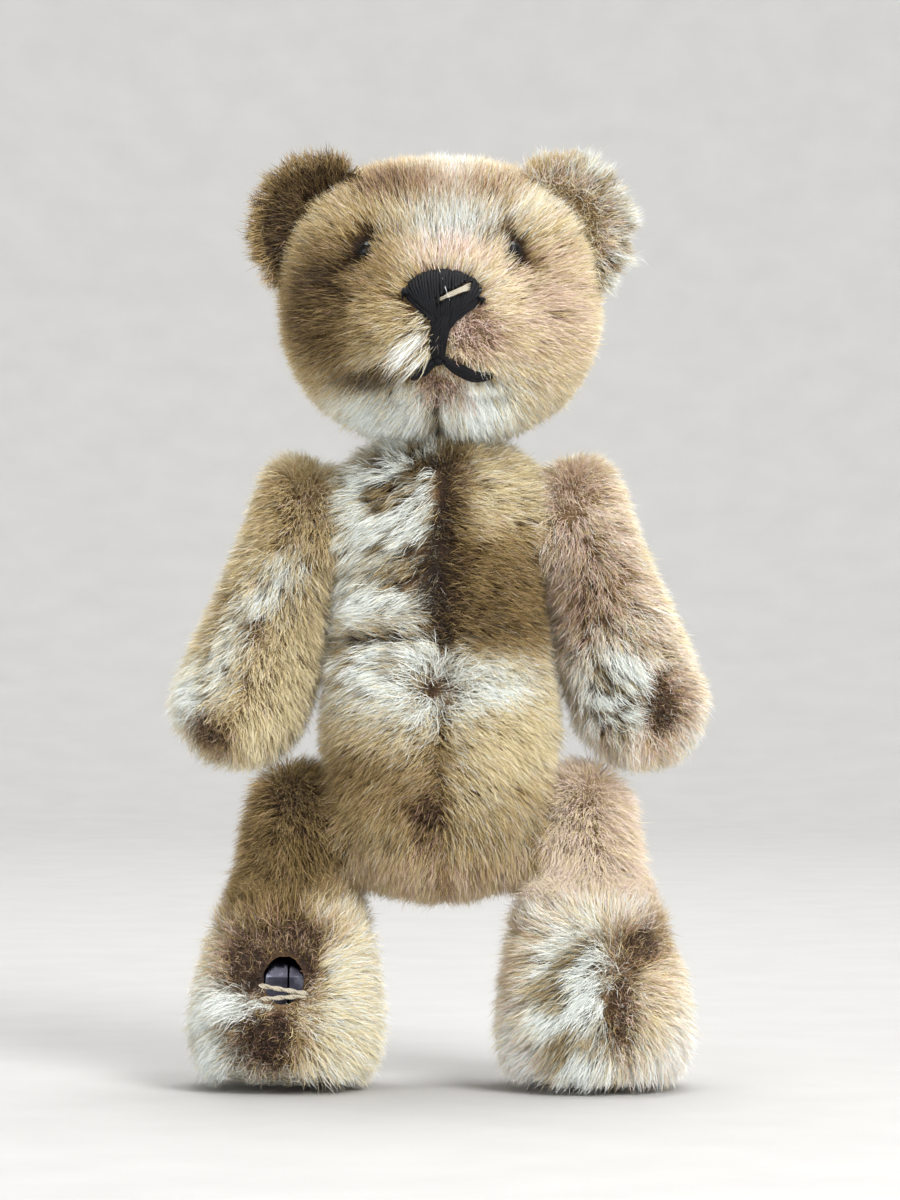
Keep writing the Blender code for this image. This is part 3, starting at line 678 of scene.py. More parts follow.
def torso_style(p, n):
    """Silver combed chest on its right, gold on its left, and a worn seam between."""
    look = Look(p)
    x, z = p[:, 0], p[:, 2]
    front = rise(-n[:, 1], -0.1, 0.45)
    seam = 0.15 + 0.35 * np.sin(z * 0.35)
    silver_side = rise(x, 0.4, -0.6)
    gold_side = 1 - silver_side
    locks = streaky(p, (-0.8, -0.6), 5.0)
    swirl_locks = rays(p, *SWIRL, 5.0)

    look.flow[:, 0] = np.where(x > seam, 1.0, -1.0) * (
        0.3 + 1.5 * front * np.exp(-np.abs(x - seam) / 3.0))
    look.flow[:, 1] = 0.25
    chest = front * rise(z, 43.5, 46.5)
    look.lay((-0.8, 0.2, -0.7), 0.8 * chest * silver_side)
    look.lay((0.9, 0.3, -0.45), 0.8 * chest * gold_side)
    crease = front * silver_side * bell(z - CREASE_Z, 3.2)
    up = np.where(z > CREASE_Z, 0.30, -0.42)
    look.lay(stacked(-1.0, 0.3, up), crease)
    from_swirl = np.hypot(x - SWIRL[0], z - SWIRL[1])
    out = stacked(x - SWIRL[0], 0.25 * from_swirl, z - SWIRL[1])
    look.lay(out, front * spot(p, *SWIRL, 4.5, 3.6))
    look.lay((0.0, -0.1, -1.0), 0.7 * front * rise(z, 30.0, 23.0))
    look.ruffle(0.16)

    look.level += 0.3 * patchy(p, 7.0, 1.0)
    look.shift(front * gold_side * rise(z, 44.0, 48.0), level=4.3, gold=0.85)
    # Painted shade, partly: the chest on the bear's left is darkened across its middle, besides the
    # gold's own tone.
    look.shift(front * gold_side * rise(z, 56.0, 50.5) * rise(z, 41.0, 44.5), level=1.6, gold=0.9)
    look.dab(0.8 * front, (4.5, 44.3, 5.5, 2.6), level=1.2)
    look.shift(front * gold_side * rise(x, 3.0, 1.2) * rise(z, 42.0, 45.0), level=1.4,
               mottle=0.8)
    # Painted light: the belly on the bear's left is lit pale.
    look.dab(front, (6.2, 33.4, 5.5, 4.8), level=4.6, gold=0.97)
    look.shift(front * rise(z, 30.0, 25.0) * 0.85, level=2.6)
    # Painted shade, partly: the belly on the bear's right is darkened, besides the gold's own tone.
    look.dab(front, (-8.0, 29.5, 6.5, 5.0), level=0.6, gold=0.95)
    look.dab(0.7 * front, (-5.5, 34.5, 4.0, 2.0), level=4.3)
    # Painted reflection, partly: a rose tint along the bottom edge stands for reflected red light.
    look.shift(front * rise(z, 24.5, 22.0) * 0.7, level=3.7, rose=0.5)

    silver = front * silver_side * (rise(z, 44.0, 47.0) + spot(p, -5.0, 41.0, 6.0, 4.6))
    silver = np.minimum(silver, 1) * rise(z, 33.0, 37.0)
    look.comb(silver, np.where(z > CREASE_Z, locks, swirl_locks), 5.0)
    look.dab(0.8 * silver, (-2.5, 50.3, 6.0, 1.9), level=2.0, gold=0.6)
    look.dab(0.6 * silver, (-10.5, 56.0, 3.0, 4.0), level=2.6, gold=0.7)
    look.dab(0.8 * silver, (-6.0, 45.6, 6.0, 1.8), level=5.2, gold=0.05)
    fuzz = front * np.clip(1.4 * bell(from_swirl, 2.9)
                           + 1.3 * spot(p, 3.6, 38.9, 3.6, 1.6), 0, 1)
    look.comb(fuzz, swirl_locks, 5.8, 0.5)
    look.shift(fuzz, curl=0.3, fan=24.0)

    # Painted shade in the chest's crease: darker, shorter pile along it.
    painted_crease_shade = bell(z - CREASE_Z, 0.45) * front * silver_side * rise(x, -9.5, -7.5)
    look.shift(painted_crease_shade, level=0.8, length=1.2)
    width = 0.45 + 1.25 * spot(p, 0.2, 48.8, 9, 5.0) + 0.35 * locks
    worn = front * bell(x - seam, width) * rise(z, 40.0, 43.5)
    look.shift(worn * 1.2 * rise(z, 61.5, 58.5), level=0.2, length=1.2, roots=-0.3,
               mottle=0.8, keep=0.65, curl=0.35)
    line = front * bell(x - seam, 0.6) * rise(z, 42.0, 40.0)
    look.shift(line * 0.75, level=1.6, length=1.9)
    for scab in ((-1.2, 26.6, 1.0, 2.3, 1.4), (-0.8, 38.3, 0.5, 0.75, 1.4)):
        look.dab(front, scab, level=0.4, length=0.9, rose=0.6, curl=0.4)

    hips = rise(z, 32.0, 29.0) * rise(np.abs(n[:, 0]), 0.25, 0.6)
    look.shift(hips, length=3.2)
    look.shift(0.7 * hips, level=2.9)
    top = rise(n[:, 2], 0.3, 0.7) * rise(z, 57.0, 60.0)
    look.lay(unit(stacked(x, p[:, 1] - AXIS_Y, 0.0)), top)
    look.shift(top, lift=68.0)
    bare_under_washer(look, p, np.abs(n[:, 0]), SHOULDER_Z)
    bare_under_washer(look, p, np.abs(n[:, 0]), HIP_Z)
    return look


NOSE_SPOT = np.array((0.4, -16.0, 75.0))
PHILTRUM = ((0.7, 74.2), (0.25, 72.9), (-0.15, 71.2), (-0.1, 69.2))
MOUTH_LEFT = ((0.3, 69.7), (1.5, 69.0), (2.9, 68.4), (4.7, 68.3))
MOUTH_RIGHT = ((-0.2, 69.7), (-0.9, 69.2), (-1.7, 68.6), (-2.6, 68.1))
EYE_SPOTS = ((-6.9, 80.0), (6.9, 80.0))
EYE_SLIT = (0.9, 1.5, 0.35)         # half width, half height, lean inwards at the top


def distance_to(path, x, z):
    """How far each (x, z) is from the line through the path's points."""
    spread = np.linspace(0, len(path) - 1, 25)
    line_x = np.interp(spread, range(len(path)), [point[0] for point in path])
    line_z = np.interp(spread, range(len(path)), [point[1] for point in path])
    return np.hypot(x[:, None] - line_x, z[:, None] - line_z).min(axis=1)


def style_eyes(look, p, face):
    """Lids that leave a small leaning slit open over each bead."""
    x, z = p[:, 0], p[:, 2]
    half_x, half_z, slope = EYE_SLIT
    for eye_x, eye_z in EYE_SPOTS:
        way = math.copysign(1.0, eye_x)
        lid = face * spot(p, eye_x, eye_z, 1.7, 1.7)
        look.shift(lid * 1.3, length=1.75, lift=60.0, fan=9.0)
        # Painted shade: the lids round each eye are darkened.
        look.shift(0.35 * lid, level=2.4)
        across = x - eye_x + slope * way * (z - eye_z)
        slit = np.hypot(across / half_x, (z - eye_z) / half_z)
        # Painted shade: the pile at the rim of each slit is darkest, as in the hollow over the
        # bead.
        look.shift(face * rise(slit, 1.9, 1.25), level=-0.3, length=0.9, roots=0.0)
        bare = np.hypot((across - 0.1 * way) / half_x, (z - eye_z) / half_z) < 1
        look.keep[bare & (p[:, 1] < 0)] = 0.0


def style_muzzle(look, p, face, locks):
    """The pile around the nose and mouth, with its worn patches and white locks."""
    x, y, z = p.T
    chin = face * (spot(p, -4.9, 66.0, 4.4, 2.5) + spot(p, 3.2, 65.8, 3.2, 2.6))
    chin_flow = stacked(np.where(x < 0, -1.0, 0.35), 0.2, -0.8)
    look.lay(chin_flow, 0.8 * chin)
    # Painted light, partly: the chin's locks face down but are combed in at the brightest level.
    look.comb(np.clip(1.2 * chin, 0, 1), rays(p, -0.1, 71.5, 3.0), 5.8, 0.3)
    look.shift(chin, lift=56.0, length=3.3, roots=-1.5)
    parting = face * bell(x + 0.1, 0.55) * rise(z, 68.5, 67.5)
    look.shift(parting, level=0.7, length=1.0)
    # Painted shadow: a dark line in the crease of the mouth on the bear's right, above the chin's
    # lock.
    look.dab(face, (-5.6, 68.9, 3.4, 0.8, 1.3), level=0.5)
    for place in ((2.9, 72.2, 2.0, 1.8), (-1.1, 67.8, 0.9, 0.8), (1.2, 67.5, 1.0, 0.8)):
        worn = face * spot(p, *place, 1.4)
        look.wear(worn, locks, 3.2)
        look.shift(worn, rose=0.95)
    look.dab(face, (0.35, 75.5, 4.6, 3.2), length=1.5)
    look.keep[(face > 0.5) & (np.hypot((x - 0.35) / 3.5, (z - 75.3) / 2.2) < 1)] = 0.0
    for path in (PHILTRUM, MOUTH_LEFT, MOUTH_RIGHT):
        gap = distance_to(path, x, z)
        look.keep[(gap < 0.5) & (y < -5)] = 0.0
        look.length = np.where((gap < 1.5) & (y < -5), look.length * 0.6, look.length)
    lock = 1.9 * face * (spot(p, -1.2, 72.0, 0.6, 0.5) + spot(p, -1.3, 70.9, 0.5, 0.5))
    look.lay((-0.80, -0.1, -0.72), lock)
    look.shift(lock, length=5.6, lift=30.0, level=4.8, gold=0.0, rose=0.0, fan=4.5,
               roots=-2.0, tight=0.75, reach=0.5, mottle=0.5)


def head_style(p, n):
    """Plush that runs back from the nose, with the marks of the face."""
    look = Look(p)
    x, z = p[:, 0], p[:, 2]
    look.flow = p - NOSE_SPOT
    look.ruffle(0.14)
    face = rise(-p[:, 1], -4.0, 1.0)
    locks = patchy(p, 1.3, 5.0)
    look.lay((0.0, 0.3, -1.0), rise(n[:, 1], 0.1, 0.6))
    look.level = 3.9 + 0.3 * patchy(p, 6.0, 1.0)
    # Painted light and shade: the forehead is darker on the bear's right and paler on its left.
    look.dab(0.6 * face, (-7.0, 82.5, 4.0, 3.0), level=3.2, gold=0.85)
    look.dab(0.7 * face, (6.5, 84.5, 4.0, 3.0), level=4.5, gold=0.4)
    fan = face * spot(p, 0.6, 81.2, 4.0, 3.8)
    look.shift(1.15 * fan, level=4.4, gold=0.05, roots=-1.6, tight=0.5, length=2.8)
    crown = rise(-n[:, 1], -0.35, 0.2) * bell(z - 85.6, 1.5)
    crown = crown * (0.6 * spot(p, -5.0, 86.0, 4.5, 4.0) + 0.9 * rise(np.abs(x), 9.0, 5.0))
    look.shift(crown * (1 + 0.5 * locks), level=1.5, gold=0.5, rose=0.45, mottle=0.7)
    look.shift(spot(p, 1.2, 87.0, 2.6, 2.4) * 0.8 * rise(-n[:, 1], -0.5, 0.0),
               level=4.5, gold=0.1, tight=0.5)
    look.dab(face, (1.2, 78.9, 3.4, 1.3), rose=0.75, level=4.4)
    # Painted shade: the bear's right cheek, under its eye, is darkened, most of all in its middle.
    look.dab(0.9 * face, (-5.0, 77.0, 2.4, 3.4), level=1.9, gold=0.92)
    shade = face * spot(p, -10.0, 75.2, 3.8, 6.0, 1.3)
    look.shift(shade, level=0.4 + 0.3 * locks, gold=0.97)
    look.dab(face, (-10.4, 74.6, 1.8, 1.6), level=1.2)
    look.dab(0.7 * face, (-5.4, 73.2, 2.4, 2.2), level=3.0, gold=0.9)
    # Painted reflection, partly: the bear's left cheek takes a rose tint of reflected red light.
    look.dab(face, (9.8, 75.0, 4.4, 5.0), level=3.9, rose=0.65)
    look.dab(0.7 * face, (5.5, 76.4, 2.0, 2.4), level=4.5, gold=0.6)
    style_muzzle(look, p, face, locks)
    style_eyes(look, p, face)
    return look


EAR_MIDDLE = (11.3, 0.6, 82.8)
EAR_RADIUS = 6.3


def ear_style(side, p, n):
    """Short speckled plush, silver on the left rim, dark in the right ear."""
    look = Look(p)
    out = p - np.array((EAR_MIDDLE[0] * side, *EAR_MIDDLE[1:]))
    out[:, 1] *= 0.2
    rim = np.hypot(out[:, 0], out[:, 2]) / EAR_RADIUS
    look.flow = out
    front = rise(-n[:, 1], 0.1, 0.6)
    speckle = patchy(p, 0.8, 4.0)
    look.shift(1.0, length=2.1, lift=36.0, fan=20.0, gold=0.75, level=3.4 + 0.3 * speckle)
    if side > 0:
        look.shift(front, level=4.2, gold=0.25, rose=0.35)
        look.comb(0.8 * rise(rim, 0.7, 0.95) * rise(out[:, 0], 0.0, 3.0), speckle, 4.4)
        inside = front * rise(rim, 0.8, 0.55)
        look.wear(0.9 * inside, speckle, 2.4)
        look.shift(inside, gold=0.9, rose=0.0)
    else:
        # Painted shade, partly: this ear is darker all over and darkest in its front hollow,
        # besides its own olive tone.
        look.shift(1.0, level=2.3 + 0.3 * speckle, gold=0.92)
        look.shift(front * rise(rim, 1.05, 0.8), level=0.4 + 0.4 * speckle,
                   gold=0.97, length=1.6)
    return look


def style_limb_top(look, p, n, x, z):
    """Pile that runs out over the top of a limb, from above its joint."""
    top = rise(n[:, 2], 0.35, 0.75) * rise(p[:, 2], z, z + 3)
    look.lay(unit(stacked(p[:, 0] - x, p[:, 1] - AXIS_Y, 0.5)), top)
    look.shift(top, lift=62.0)
    return top


PAWS = {1: (21.2, 36.6), -1: (-21.9, 34.2)}
ARM_TOP_X = 14.2
ARM_SLOPE = 0.292           # how far an arm runs outwards for each mm down


def arm_middle(z):
    """How far out the middle of either arm is at a height."""
    return ARM_TOP_X + (SHOULDER_Z - z) * ARM_SLOPE


def style_left_arm(look, p, front, locks):
    """Rosy plush, its rose partly a painted reflection of red light, and white locks that are drawn
    towards the worn paw.
    """
    x, z = p[:, 0], p[:, 2]
    # Painted reflection, partly: the rose on the arm's front stands for reflected red light.
    look.shift(front, rose=0.5, gold=0.35, level=4.3)
    # Painted light: the outer side of this arm is paler.
    look.shift(rise(x - arm_middle(z), -0.5, 2.0), level=4.5)
    look.dab(front, (12.6, 57.0, 2.5, 4.0), level=4.6, rose=0.7)
    look.dab(front, (14.2, 47.0, 2.8, 5.0), level=2.3 + 0.6 * locks, mottle=0.8,
             tight=0.5, roots=-1.6)
    towards = stacked(PAWS[1][0] - x, 0.3, PAWS[1][1] - z)
    drawn = front * spot(p, 17.0, 38.6, 3.0, 4.2, 1.5)
    look.lay(towards, 0.9 * drawn)
    look.comb(drawn, rays(p, *PAWS[1], 2.0), 5.7, 1.0)
    look.dab(front, (24.0, 34.2, 2.0, 2.2), level=4.9, gold=0.1)
    look.wear(front * spot(p, 20.6, 38.2, 0.9, 2.2, 1.5), locks, 0.9)


def style_right_arm(look, p, front, locks):
    """Straw-yellow plush with a combed white strip down to the worn paw."""
    look.shift(front, gold=0.92)
    # Painted shade: the top of this arm is darker.
    look.dab(front, (-13.6, 55.0, 4.5, 5.0), level=3.1)
    look.dab(front, (-15.6, 39.0, 3.0, 5.5), level=4.6, gold=0.97)
    # Painted shade: the outer side of this arm is darker.
    look.dab(0.7 * front, (-20.6, 46.0, 2.0, 6.0), level=3.1)
    strip = distance_to(((-14.4, 50.6), (-18.4, 44.6), (-21.8, 38.4)), p[:, 0], p[:, 2])
    strip = front * bell(strip, 1.5)
    look.comb(0.8 * strip, locks, 4.7, 0.4)
    tufts = front * spot(p, -24.2, 37.8, 2.0, 2.6, 2.0)
    look.lay((-0.8, 0.0, -0.6), tufts)
    look.comb(tufts, rays(p, *PAWS[-1], 2.0), 5.7, 0.6)
    look.wear(front * spot(p, -17.0, 44.0, 0.6, 1.3), locks, 2.2)


def arm_style(side, p, n):
    """Plush that runs down the arm to a worn paw."""
    look = Look(p)
    x, z = p[:, 0], p[:, 2]
    front = rise(-n[:, 1], -0.1, 0.5)
    middle = side * arm_middle(z)
    away = np.sign(x - middle)
    near = front * rise(z, 42.0, 37.0) * np.exp(-np.abs(x - middle) / 2.0)
    look.flow = stacked(0.4 * side + away * near * 0.9, 0.12, -1.0)
    look.ruffle(0.16, side)
    locks = streaky(p, (0.29 * side, -1.0), 6.0 + side)
    look.level = 3.9 + 0.3 * patchy(p, 6.0, 2.0 + side)
    frill = rise(z, 37.0, 34.0)
    look.shift(0.7 * frill, level=4.7, gold=0.4, tight=0.6)
    if side > 0:
        style_left_arm(look, p, front, locks)
    else:
        style_right_arm(look, p, front, locks)
    worn = front * spot(p, *PAWS[side], 1.6, 2.0, 1.7)
    look.wear(worn, locks, 0.9)
    top = style_limb_top(look, p, n, 13.0 * side, SHOULDER_Z)
    look.shift(0.6 * top, level=4.3)
    bare_under_washer(look, p, -side * n[:, 0], SHOULDER_Z)
    return look


TOE_CENTRE = (14.8, 9.6)
HOLE = (-14.8, 10.9, 1.9, 2.2)      # centre, half width and half height
HOLE_RAGGED = 0.12          # of its area
HOLE_WAVY = 0.05            # of its reach
RIGHT_TOE_WEAR = (
    # the place of a spot, level
    (-18.2, 12.0, 2.2, 2.8, 0.6), (-13.6, 14.4, 2.5, 1.3, 0.7),
    (-16.2, 5.6, 2.4, 2.9, 0.2), (-12.6, 12.0, 0.8, 2.2, 0.7))


def style_right_foot(look, p, toe, locks):
    """The holed toe: dark rubbed patches, and one white lock between them."""
    x, z = p[:, 0], p[:, 2]
    look.shift(toe * rise(x, -14.0, -12.0), level=5.0, gold=0.6)
    white = np.clip(1.6 * toe * (spot(p, -20.4, 6.4, 2.6, 3.6)
                                 + spot(p, -18.0, 9.2, 2.4, 1.0)), 0, 1)
    look.lay((-0.9, 0.1, -0.7), white)
    look.comb(white, rays(p, -14.8, 10.9, 3.0), 5.4, 0.5)
    for *place, level in RIGHT_TOE_WEAR:
        look.wear(toe * spot(p, *place, 1.7), locks, level)
    lock = toe * spot(p, -18.6, 8.7, 2.8, 0.75, 1.9)
    look.comb(lock, locks, 5.6, 0.2)
    around = np.hypot((x - HOLE[0]) / (HOLE[2] + 0.15), (z - HOLE[1]) / (HOLE[3] + 0.15))
    front = p[:, 1] < AXIS_Y
    look.keep[(around < 1.1) & front] = 0.0
    look.length = np.where((around < 1.7) & front, 0.95, look.length)


def style_left_foot(look, p, toe, locks):
    """White hair combed down and across the toe from a worn corner."""
    # Painted reflection, partly: the toe takes a rose tint of reflected red light.
    look.shift(toe, rose=0.3)
    # Painted shade: the toe's inner side is darkened.
    look.dab(toe, (8.6, 12.0, 2.4, 4.5), level=2.3, rose=0.4)
    combed = np.clip(2.2 * toe * spot(p, 13.7, 8.7, 3.3, 5.4), 0, 1)
    look.lay((-0.62, 0.1, -1.0), combed * 0.9)
    look.comb(combed, rays(p, 19.5, 15.0, 4.0), 5.9, 0.8)
    look.shift(combed, length=3.5)
    look.wear(toe * spot(p, 17.0, 8.4, 0.9, 3.2, 1.6), locks, 1.0)
    look.wear(toe * spot(p, 19.0, 13.6, 1.9, 1.7, 1.7), locks, 0.5)


def leg_style(side, p, n):
    """Plush that runs down the leg, then out over the toe from its middle."""
    look = Look(p)
    x, y, z = p.T
    centre_x = side * TOE_CENTRE[0]
    toe = rise(-n[:, 1], -0.15, 0.35) * rise(z, 18.5, 15.5)
    away = np.sign(x - centre_x)
    comb_x, comb_z = (-15.6, 10.6) if side < 0 else (18.2, 12.4)
    look.flow = stacked(0.1 * away, 0.1, -1.0)
    sole = rise(-n[:, 2], 0.5, 0.8)
    look.lay(stacked(x - comb_x, 0.9, z - comb_z), toe)
    look.lay(stacked(x - centre_x, y + 0.8, 0.0), sole)
    look.ruffle(0.14, side)
    locks = patchy(p, 1.2, 6.0 + side)
    look.level = 3.6 + 0.3 * patchy(p, 6.0, 2.0 + side)
    edge = toe * rise(np.hypot(x - centre_x, z - TOE_CENTRE[1]), 5.0, 8.0)
    look.shift(toe, level=4.4)
    look.shift(edge, level=5.3, gold=0.12, length=3.5, tight=0.55, lift=48.0)
    brim = rise(-n[:, 1], -0.5, 0.1) * rise(z, 12.5, 15.5) * rise(z, 19.5, 17.5)
    look.shift(brim, length=3.9)
    look.lay(stacked(0.8 * (x - centre_x), -1.0, 5.0), brim)
    look.shift(sole, length=1.1, lift=18.0)
    thigh = rise(z, 13.5, 17.0)
    look.shift(thigh, length=3.0)
    look.shift(thigh * rise(z, 23.5, 21.0) * rise(-side * n[:, 0], 0.1, 0.5), length=3.6)
    if side < 0:
        # Painted shade: the front of the bear's right leg is darkened.
        look.shift(thigh * rise(-n[:, 1], -0.2, 0.3), level=1.7, gold=0.95)
        style_right_foot(look, p, toe, locks)
    else:
        # Painted light and reflection: the bear's left leg is paler, with a rose tint of reflected
        # red light.
        look.shift(thigh, level=5.1, rose=0.6)
        style_left_foot(look, p, toe, locks)
    style_limb_top(look, p, n, centre_x, HIP_Z - 1)
    bare_under_washer(look, p, -side * n[:, 0], HIP_Z)
    return look


# ---- threads ----------------------------------------------------------------
THREAD_SIDES = 7


def ring_faces(rings, sides, first=0):
    """Faces between neighbouring rings of vertices, numbered from the first."""
    faces = []
    for low in range(first, first + (rings - 1) * sides, sides):
        for s in range(sides):
            t = (s + 1) % sides
            faces.append((low + s, low + t, low + sides + t, low + sides + s))
    return faces


def tube(points, radius, ends=0.6):
    """Vertices and faces of a round thread along the points, thinner at its ends."""
    sides = THREAD_SIDES
    points = np.array(points, float)
    tangents = unit(np.gradient(points, axis=0))
    helper = np.array((0.0, 0.0, 1.0))
    if abs(tangents[0] @ helper) > 0.9:
        helper = np.array((1.0, 0.0, 0.0))
    first = unit(np.cross(tangents, helper))
    second = np.cross(tangents, first)
    angles = np.linspace(0, 2 * math.pi, sides, endpoint=False)
    girth = np.full(len(points), radius)
    girth[0] *= ends
    girth[-1] *= ends
    rings = points[:, None, :] + girth[:, None, None] * (
        np.cos(angles)[None, :, None] * first[:, None, :]
        + np.sin(angles)[None, :, None] * second[:, None, :])
    verts = list(rings.reshape(-1, 3))
    faces = ring_faces(len(points), sides)
    faces.append(tuple(range(sides)))
    last = (len(points) - 1) * sides
    faces.append(tuple(last + s for s in reversed(range(sides))))
    return verts, faces


def joined(pieces):
    verts, faces = [], []
    for piece_verts, piece_faces in pieces:
        first = len(verts)
        verts.extend(piece_verts)
        faces.extend([first + i for i in face] for face in piece_faces)
    return verts, faces


def add_threads(name, pieces, material, body, slot_name, *replaced):
    verts, faces = joined(pieces)
    mesh = bpy.data.meshes.new(name)
    mesh.from_pydata([Vector(v) * MM for v in verts], [], faces)
    mesh.materials.append(material)
    mesh.shade_smooth()
    mesh.update()
    made = add_object(name, mesh, body)
    if replaced:
        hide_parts(*replaced)


def on_skin(tree, x, z, height):
    """A point that far above the head's skin, straight in front of (x, z)."""
    hit, normal, _, _ = tree.ray_cast(Vector((x, -60.0, z)), Vector((0, 1, 0)))
    outward = (normal + Vector((0, -1.5, 0))).normalized()
    return np.array(hit) + np.array(outward) * height


def smooth_line(points, steps):
    """A smooth line through the points, by Catmull-Rom."""
    points = np.array(points, float)
    padded = np.vstack([2 * points[0] - points[1], points, 2 * points[-1] - points[-2]])
    line = []
    for i in range(1, len(padded) - 2):
        a, b, c, d = padded[i - 1:i + 3]
        for t in np.linspace(0, 1, steps, endpoint=False):
            line.append(0.5 * (2 * b + (c - a) * t + (2 * a - 5 * b + 4 * c - d) * t ** 2
                               + (3 * b - a - 3 * c + d) * t ** 3))
    line.append(points[-1])
    return np.array(line)


NOSE_MIDDLE = (0.35, 75.3)
NOSE_HALF_WIDTH = 3.45
NOSE_RISE = 2.35
NOSE_DROP = 2.0
NOSE_TAPER = 0.62           # width of its lower edge beside its upper edge
SLIT = ((-0.4, 74.75), (2.75, 76.15))
NOSE_HAIR = ((-0.2, 78.2, 1.0), (0.2, 76.4, 2.2), (0.9, 74.7, 1.7))
NOSE_LAYERS = ((30, 0.17, 0.0), (25, 0.145, 0.14))      # threads, radius, height
NOSE_BANDS = (((3.6, 75.2), (2.5, 74.3), (1.3, 73.4), (0.3, 71.9)),
              ((-3.0, 75.5), (-1.9, 74.5), (-0.7, 73.3), (-0.2, 71.9)))
MOUTH = (
    # piece, CAD node it replaces, path, threads, spread, height, radius
    ("mouth_threads_left", "mouth_stitch_left", MOUTH_LEFT, 6, 0.46, 1.5, 0.17),
    ("mouth_threads_right", "mouth_stitch_right", MOUTH_RIGHT, 5, 0.36, 1.35, 0.16),
)


def nose_height(x, z):
    """Height of the padded nose over the skin."""
    across = (x - NOSE_MIDDLE[0]) / (NOSE_HALF_WIDTH + 0.3)
    up = (z - NOSE_MIDDLE[1]) / (NOSE_RISE + 0.3)
    return 0.35 + 1.25 * math.sqrt(max(0.0, 1 - across ** 2 - up ** 2))


def in_slit(x, z):
    (x0, z0), (x1, z1) = SLIT
    share = (x - x0) / (x1 - x0)
    off = abs(z - (z0 + (z1 - z0) * share))
    return 0 <= share <= 1 and off < 0.12 + 0.28 * share


def nose_pieces(tree, rng):
    """Upright satin stitches over the nose, and the bands that run to the mouth."""
    pieces = []
    for count, radius, height in NOSE_LAYERS:
        for i in range(count):
            share = (i + 0.5) / count * 2 - 1
            top_x = NOSE_MIDDLE[0] + NOSE_HALF_WIDTH * share
            low_x = NOSE_MIDDLE[0] + NOSE_HALF_WIDTH * share * NOSE_TAPER
            arch = math.sqrt(max(0.0, 1 - share ** 2))
            top_z = NOSE_MIDDLE[1] + NOSE_RISE * arch + rng.uniform(-0.14, 0.30)
            low_z = NOSE_MIDDLE[1] - 0.4 - NOSE_DROP * (1 - abs(share)) ** 0.6
            runs = [[]]
            for t in np.linspace(0, 1, 13):
                x = top_x + (low_x - top_x) * t ** 1.5 + rng.uniform(-0.015, 0.015)
                z = top_z + (low_z - top_z) * t
                if in_slit(x, z):
                    runs.append([])
                else:
                    runs[-1].append(on_skin(tree, x, z, nose_height(x, z) + height - 0.1))
            pieces += [tube(run, radius) for run in runs if len(run) > 2]
    return pieces


def slit_pieces(tree):
    """Pale worn threads sunk in the slit of the nose."""
    (x0, z0), (x1, z1) = SLIT
    pieces = []
    for shift in (-0.195, -0.065, 0.065, 0.195):
        run = []
        for t in np.linspace(0, 1, 9):
            x = x0 + (x1 - x0) * t
            sunk = nose_height(x, z0) - 0.30 - 0.5 * (1 - t) ** 3
            run.append(on_skin(tree, x, z0 + (z1 - z0) * t + shift * (0.3 + t), sunk))
        pieces.append(tube(run, radius=0.1, ends=0.2))
    return pieces


def stitch_bundle(tree, rng, path, count, spread, height, radius):
    """Threads side by side along a path of (x, z), rounded into one thick stitch."""
    pieces = []
    line = smooth_line(path, 5)
    slope = np.gradient(line, axis=0)
    sideways = unit(np.stack([-slope[:, 1], slope[:, 0]], axis=1))
    ends = np.linspace(0, 1, len(line))
    belly = np.sin(math.pi * np.clip(ends, 0.02, 0.98)) ** 0.35
    for i in range(count):
        share = (i + 0.5) / count * 2 - 1
        drift = rng.uniform(-0.05, 0.05)
        run = []
        for k, (x, z) in enumerate(line):
            shift = spread * (share * belly[k]) + drift * math.sin(k)
            lifted = height * (0.55 + 0.45 * math.sqrt(1 - share ** 2)) * (0.4 + 0.6 * belly[k])
            run.append(on_skin(tree, x + sideways[k, 0] * shift,
                               z + sideways[k, 1] * shift, lifted))
        pieces.append(tube(run, radius))
    return pieces


KNOT_THREADS = 9
KNOT_REACH = 0.35


def knot(tree, rng, x, z, height):
    """A lump of thread with a few cut ends."""
    pieces = []
    for _ in range(KNOT_THREADS):
        start = rng.uniform(-KNOT_REACH, KNOT_REACH, 2)
        stop = -start + rng.uniform(-0.15, 0.15, 2)
        run = [on_skin(tree, x + start[0] + (stop[0] - start[0]) * t,
                       z + start[1] + (stop[1] - start[1]) * t,
                       height * (0.5 + 0.6 * math.sin(math.pi * t)))
               for t in np.linspace(0, 1, 6)]
        pieces.append(tube(run, radius=0.13))
    return pieces


def add_nose_hair(tree):
    """Two stray hairs that hang over the nose, each along a quadratic curve."""
    rng = np.random.default_rng(4)
    start, bend, tip = (on_skin(tree, *place) for place in NOSE_HAIR)
    points, sides, colours = [], [], []
    for _ in range(2):
        shift = rng.normal(0, 1, 3) * 0.02
        end = start + (tip - start) * rng.uniform(0.8, 1.05) + shift * 0.7
        line = np.array([
            (1 - t) ** 2 * (start + shift * 0.5) + 2 * t * (1 - t) * (bend + shift) + t * t * end
            for t in (0, 1 / 3, 2 / 3, 1)])
        points.append(line)
        sides.append(unit(np.cross(unit(np.diff(line, axis=0)), (0.0, -1.0, 0.15))))
        shade = 4.6 + rng.normal(0, 0.5) + np.array((-1.0, 0.0, 0.3))
        colours.append(CREAM * LEVELS + np.clip(np.rint(shade), 0, LEVELS - 1))
    mesh = strand_mesh("nose_stray_hair", *map(np.array, (points, sides, colours)))
    add_object("nose_stray_hair", mesh, "head")


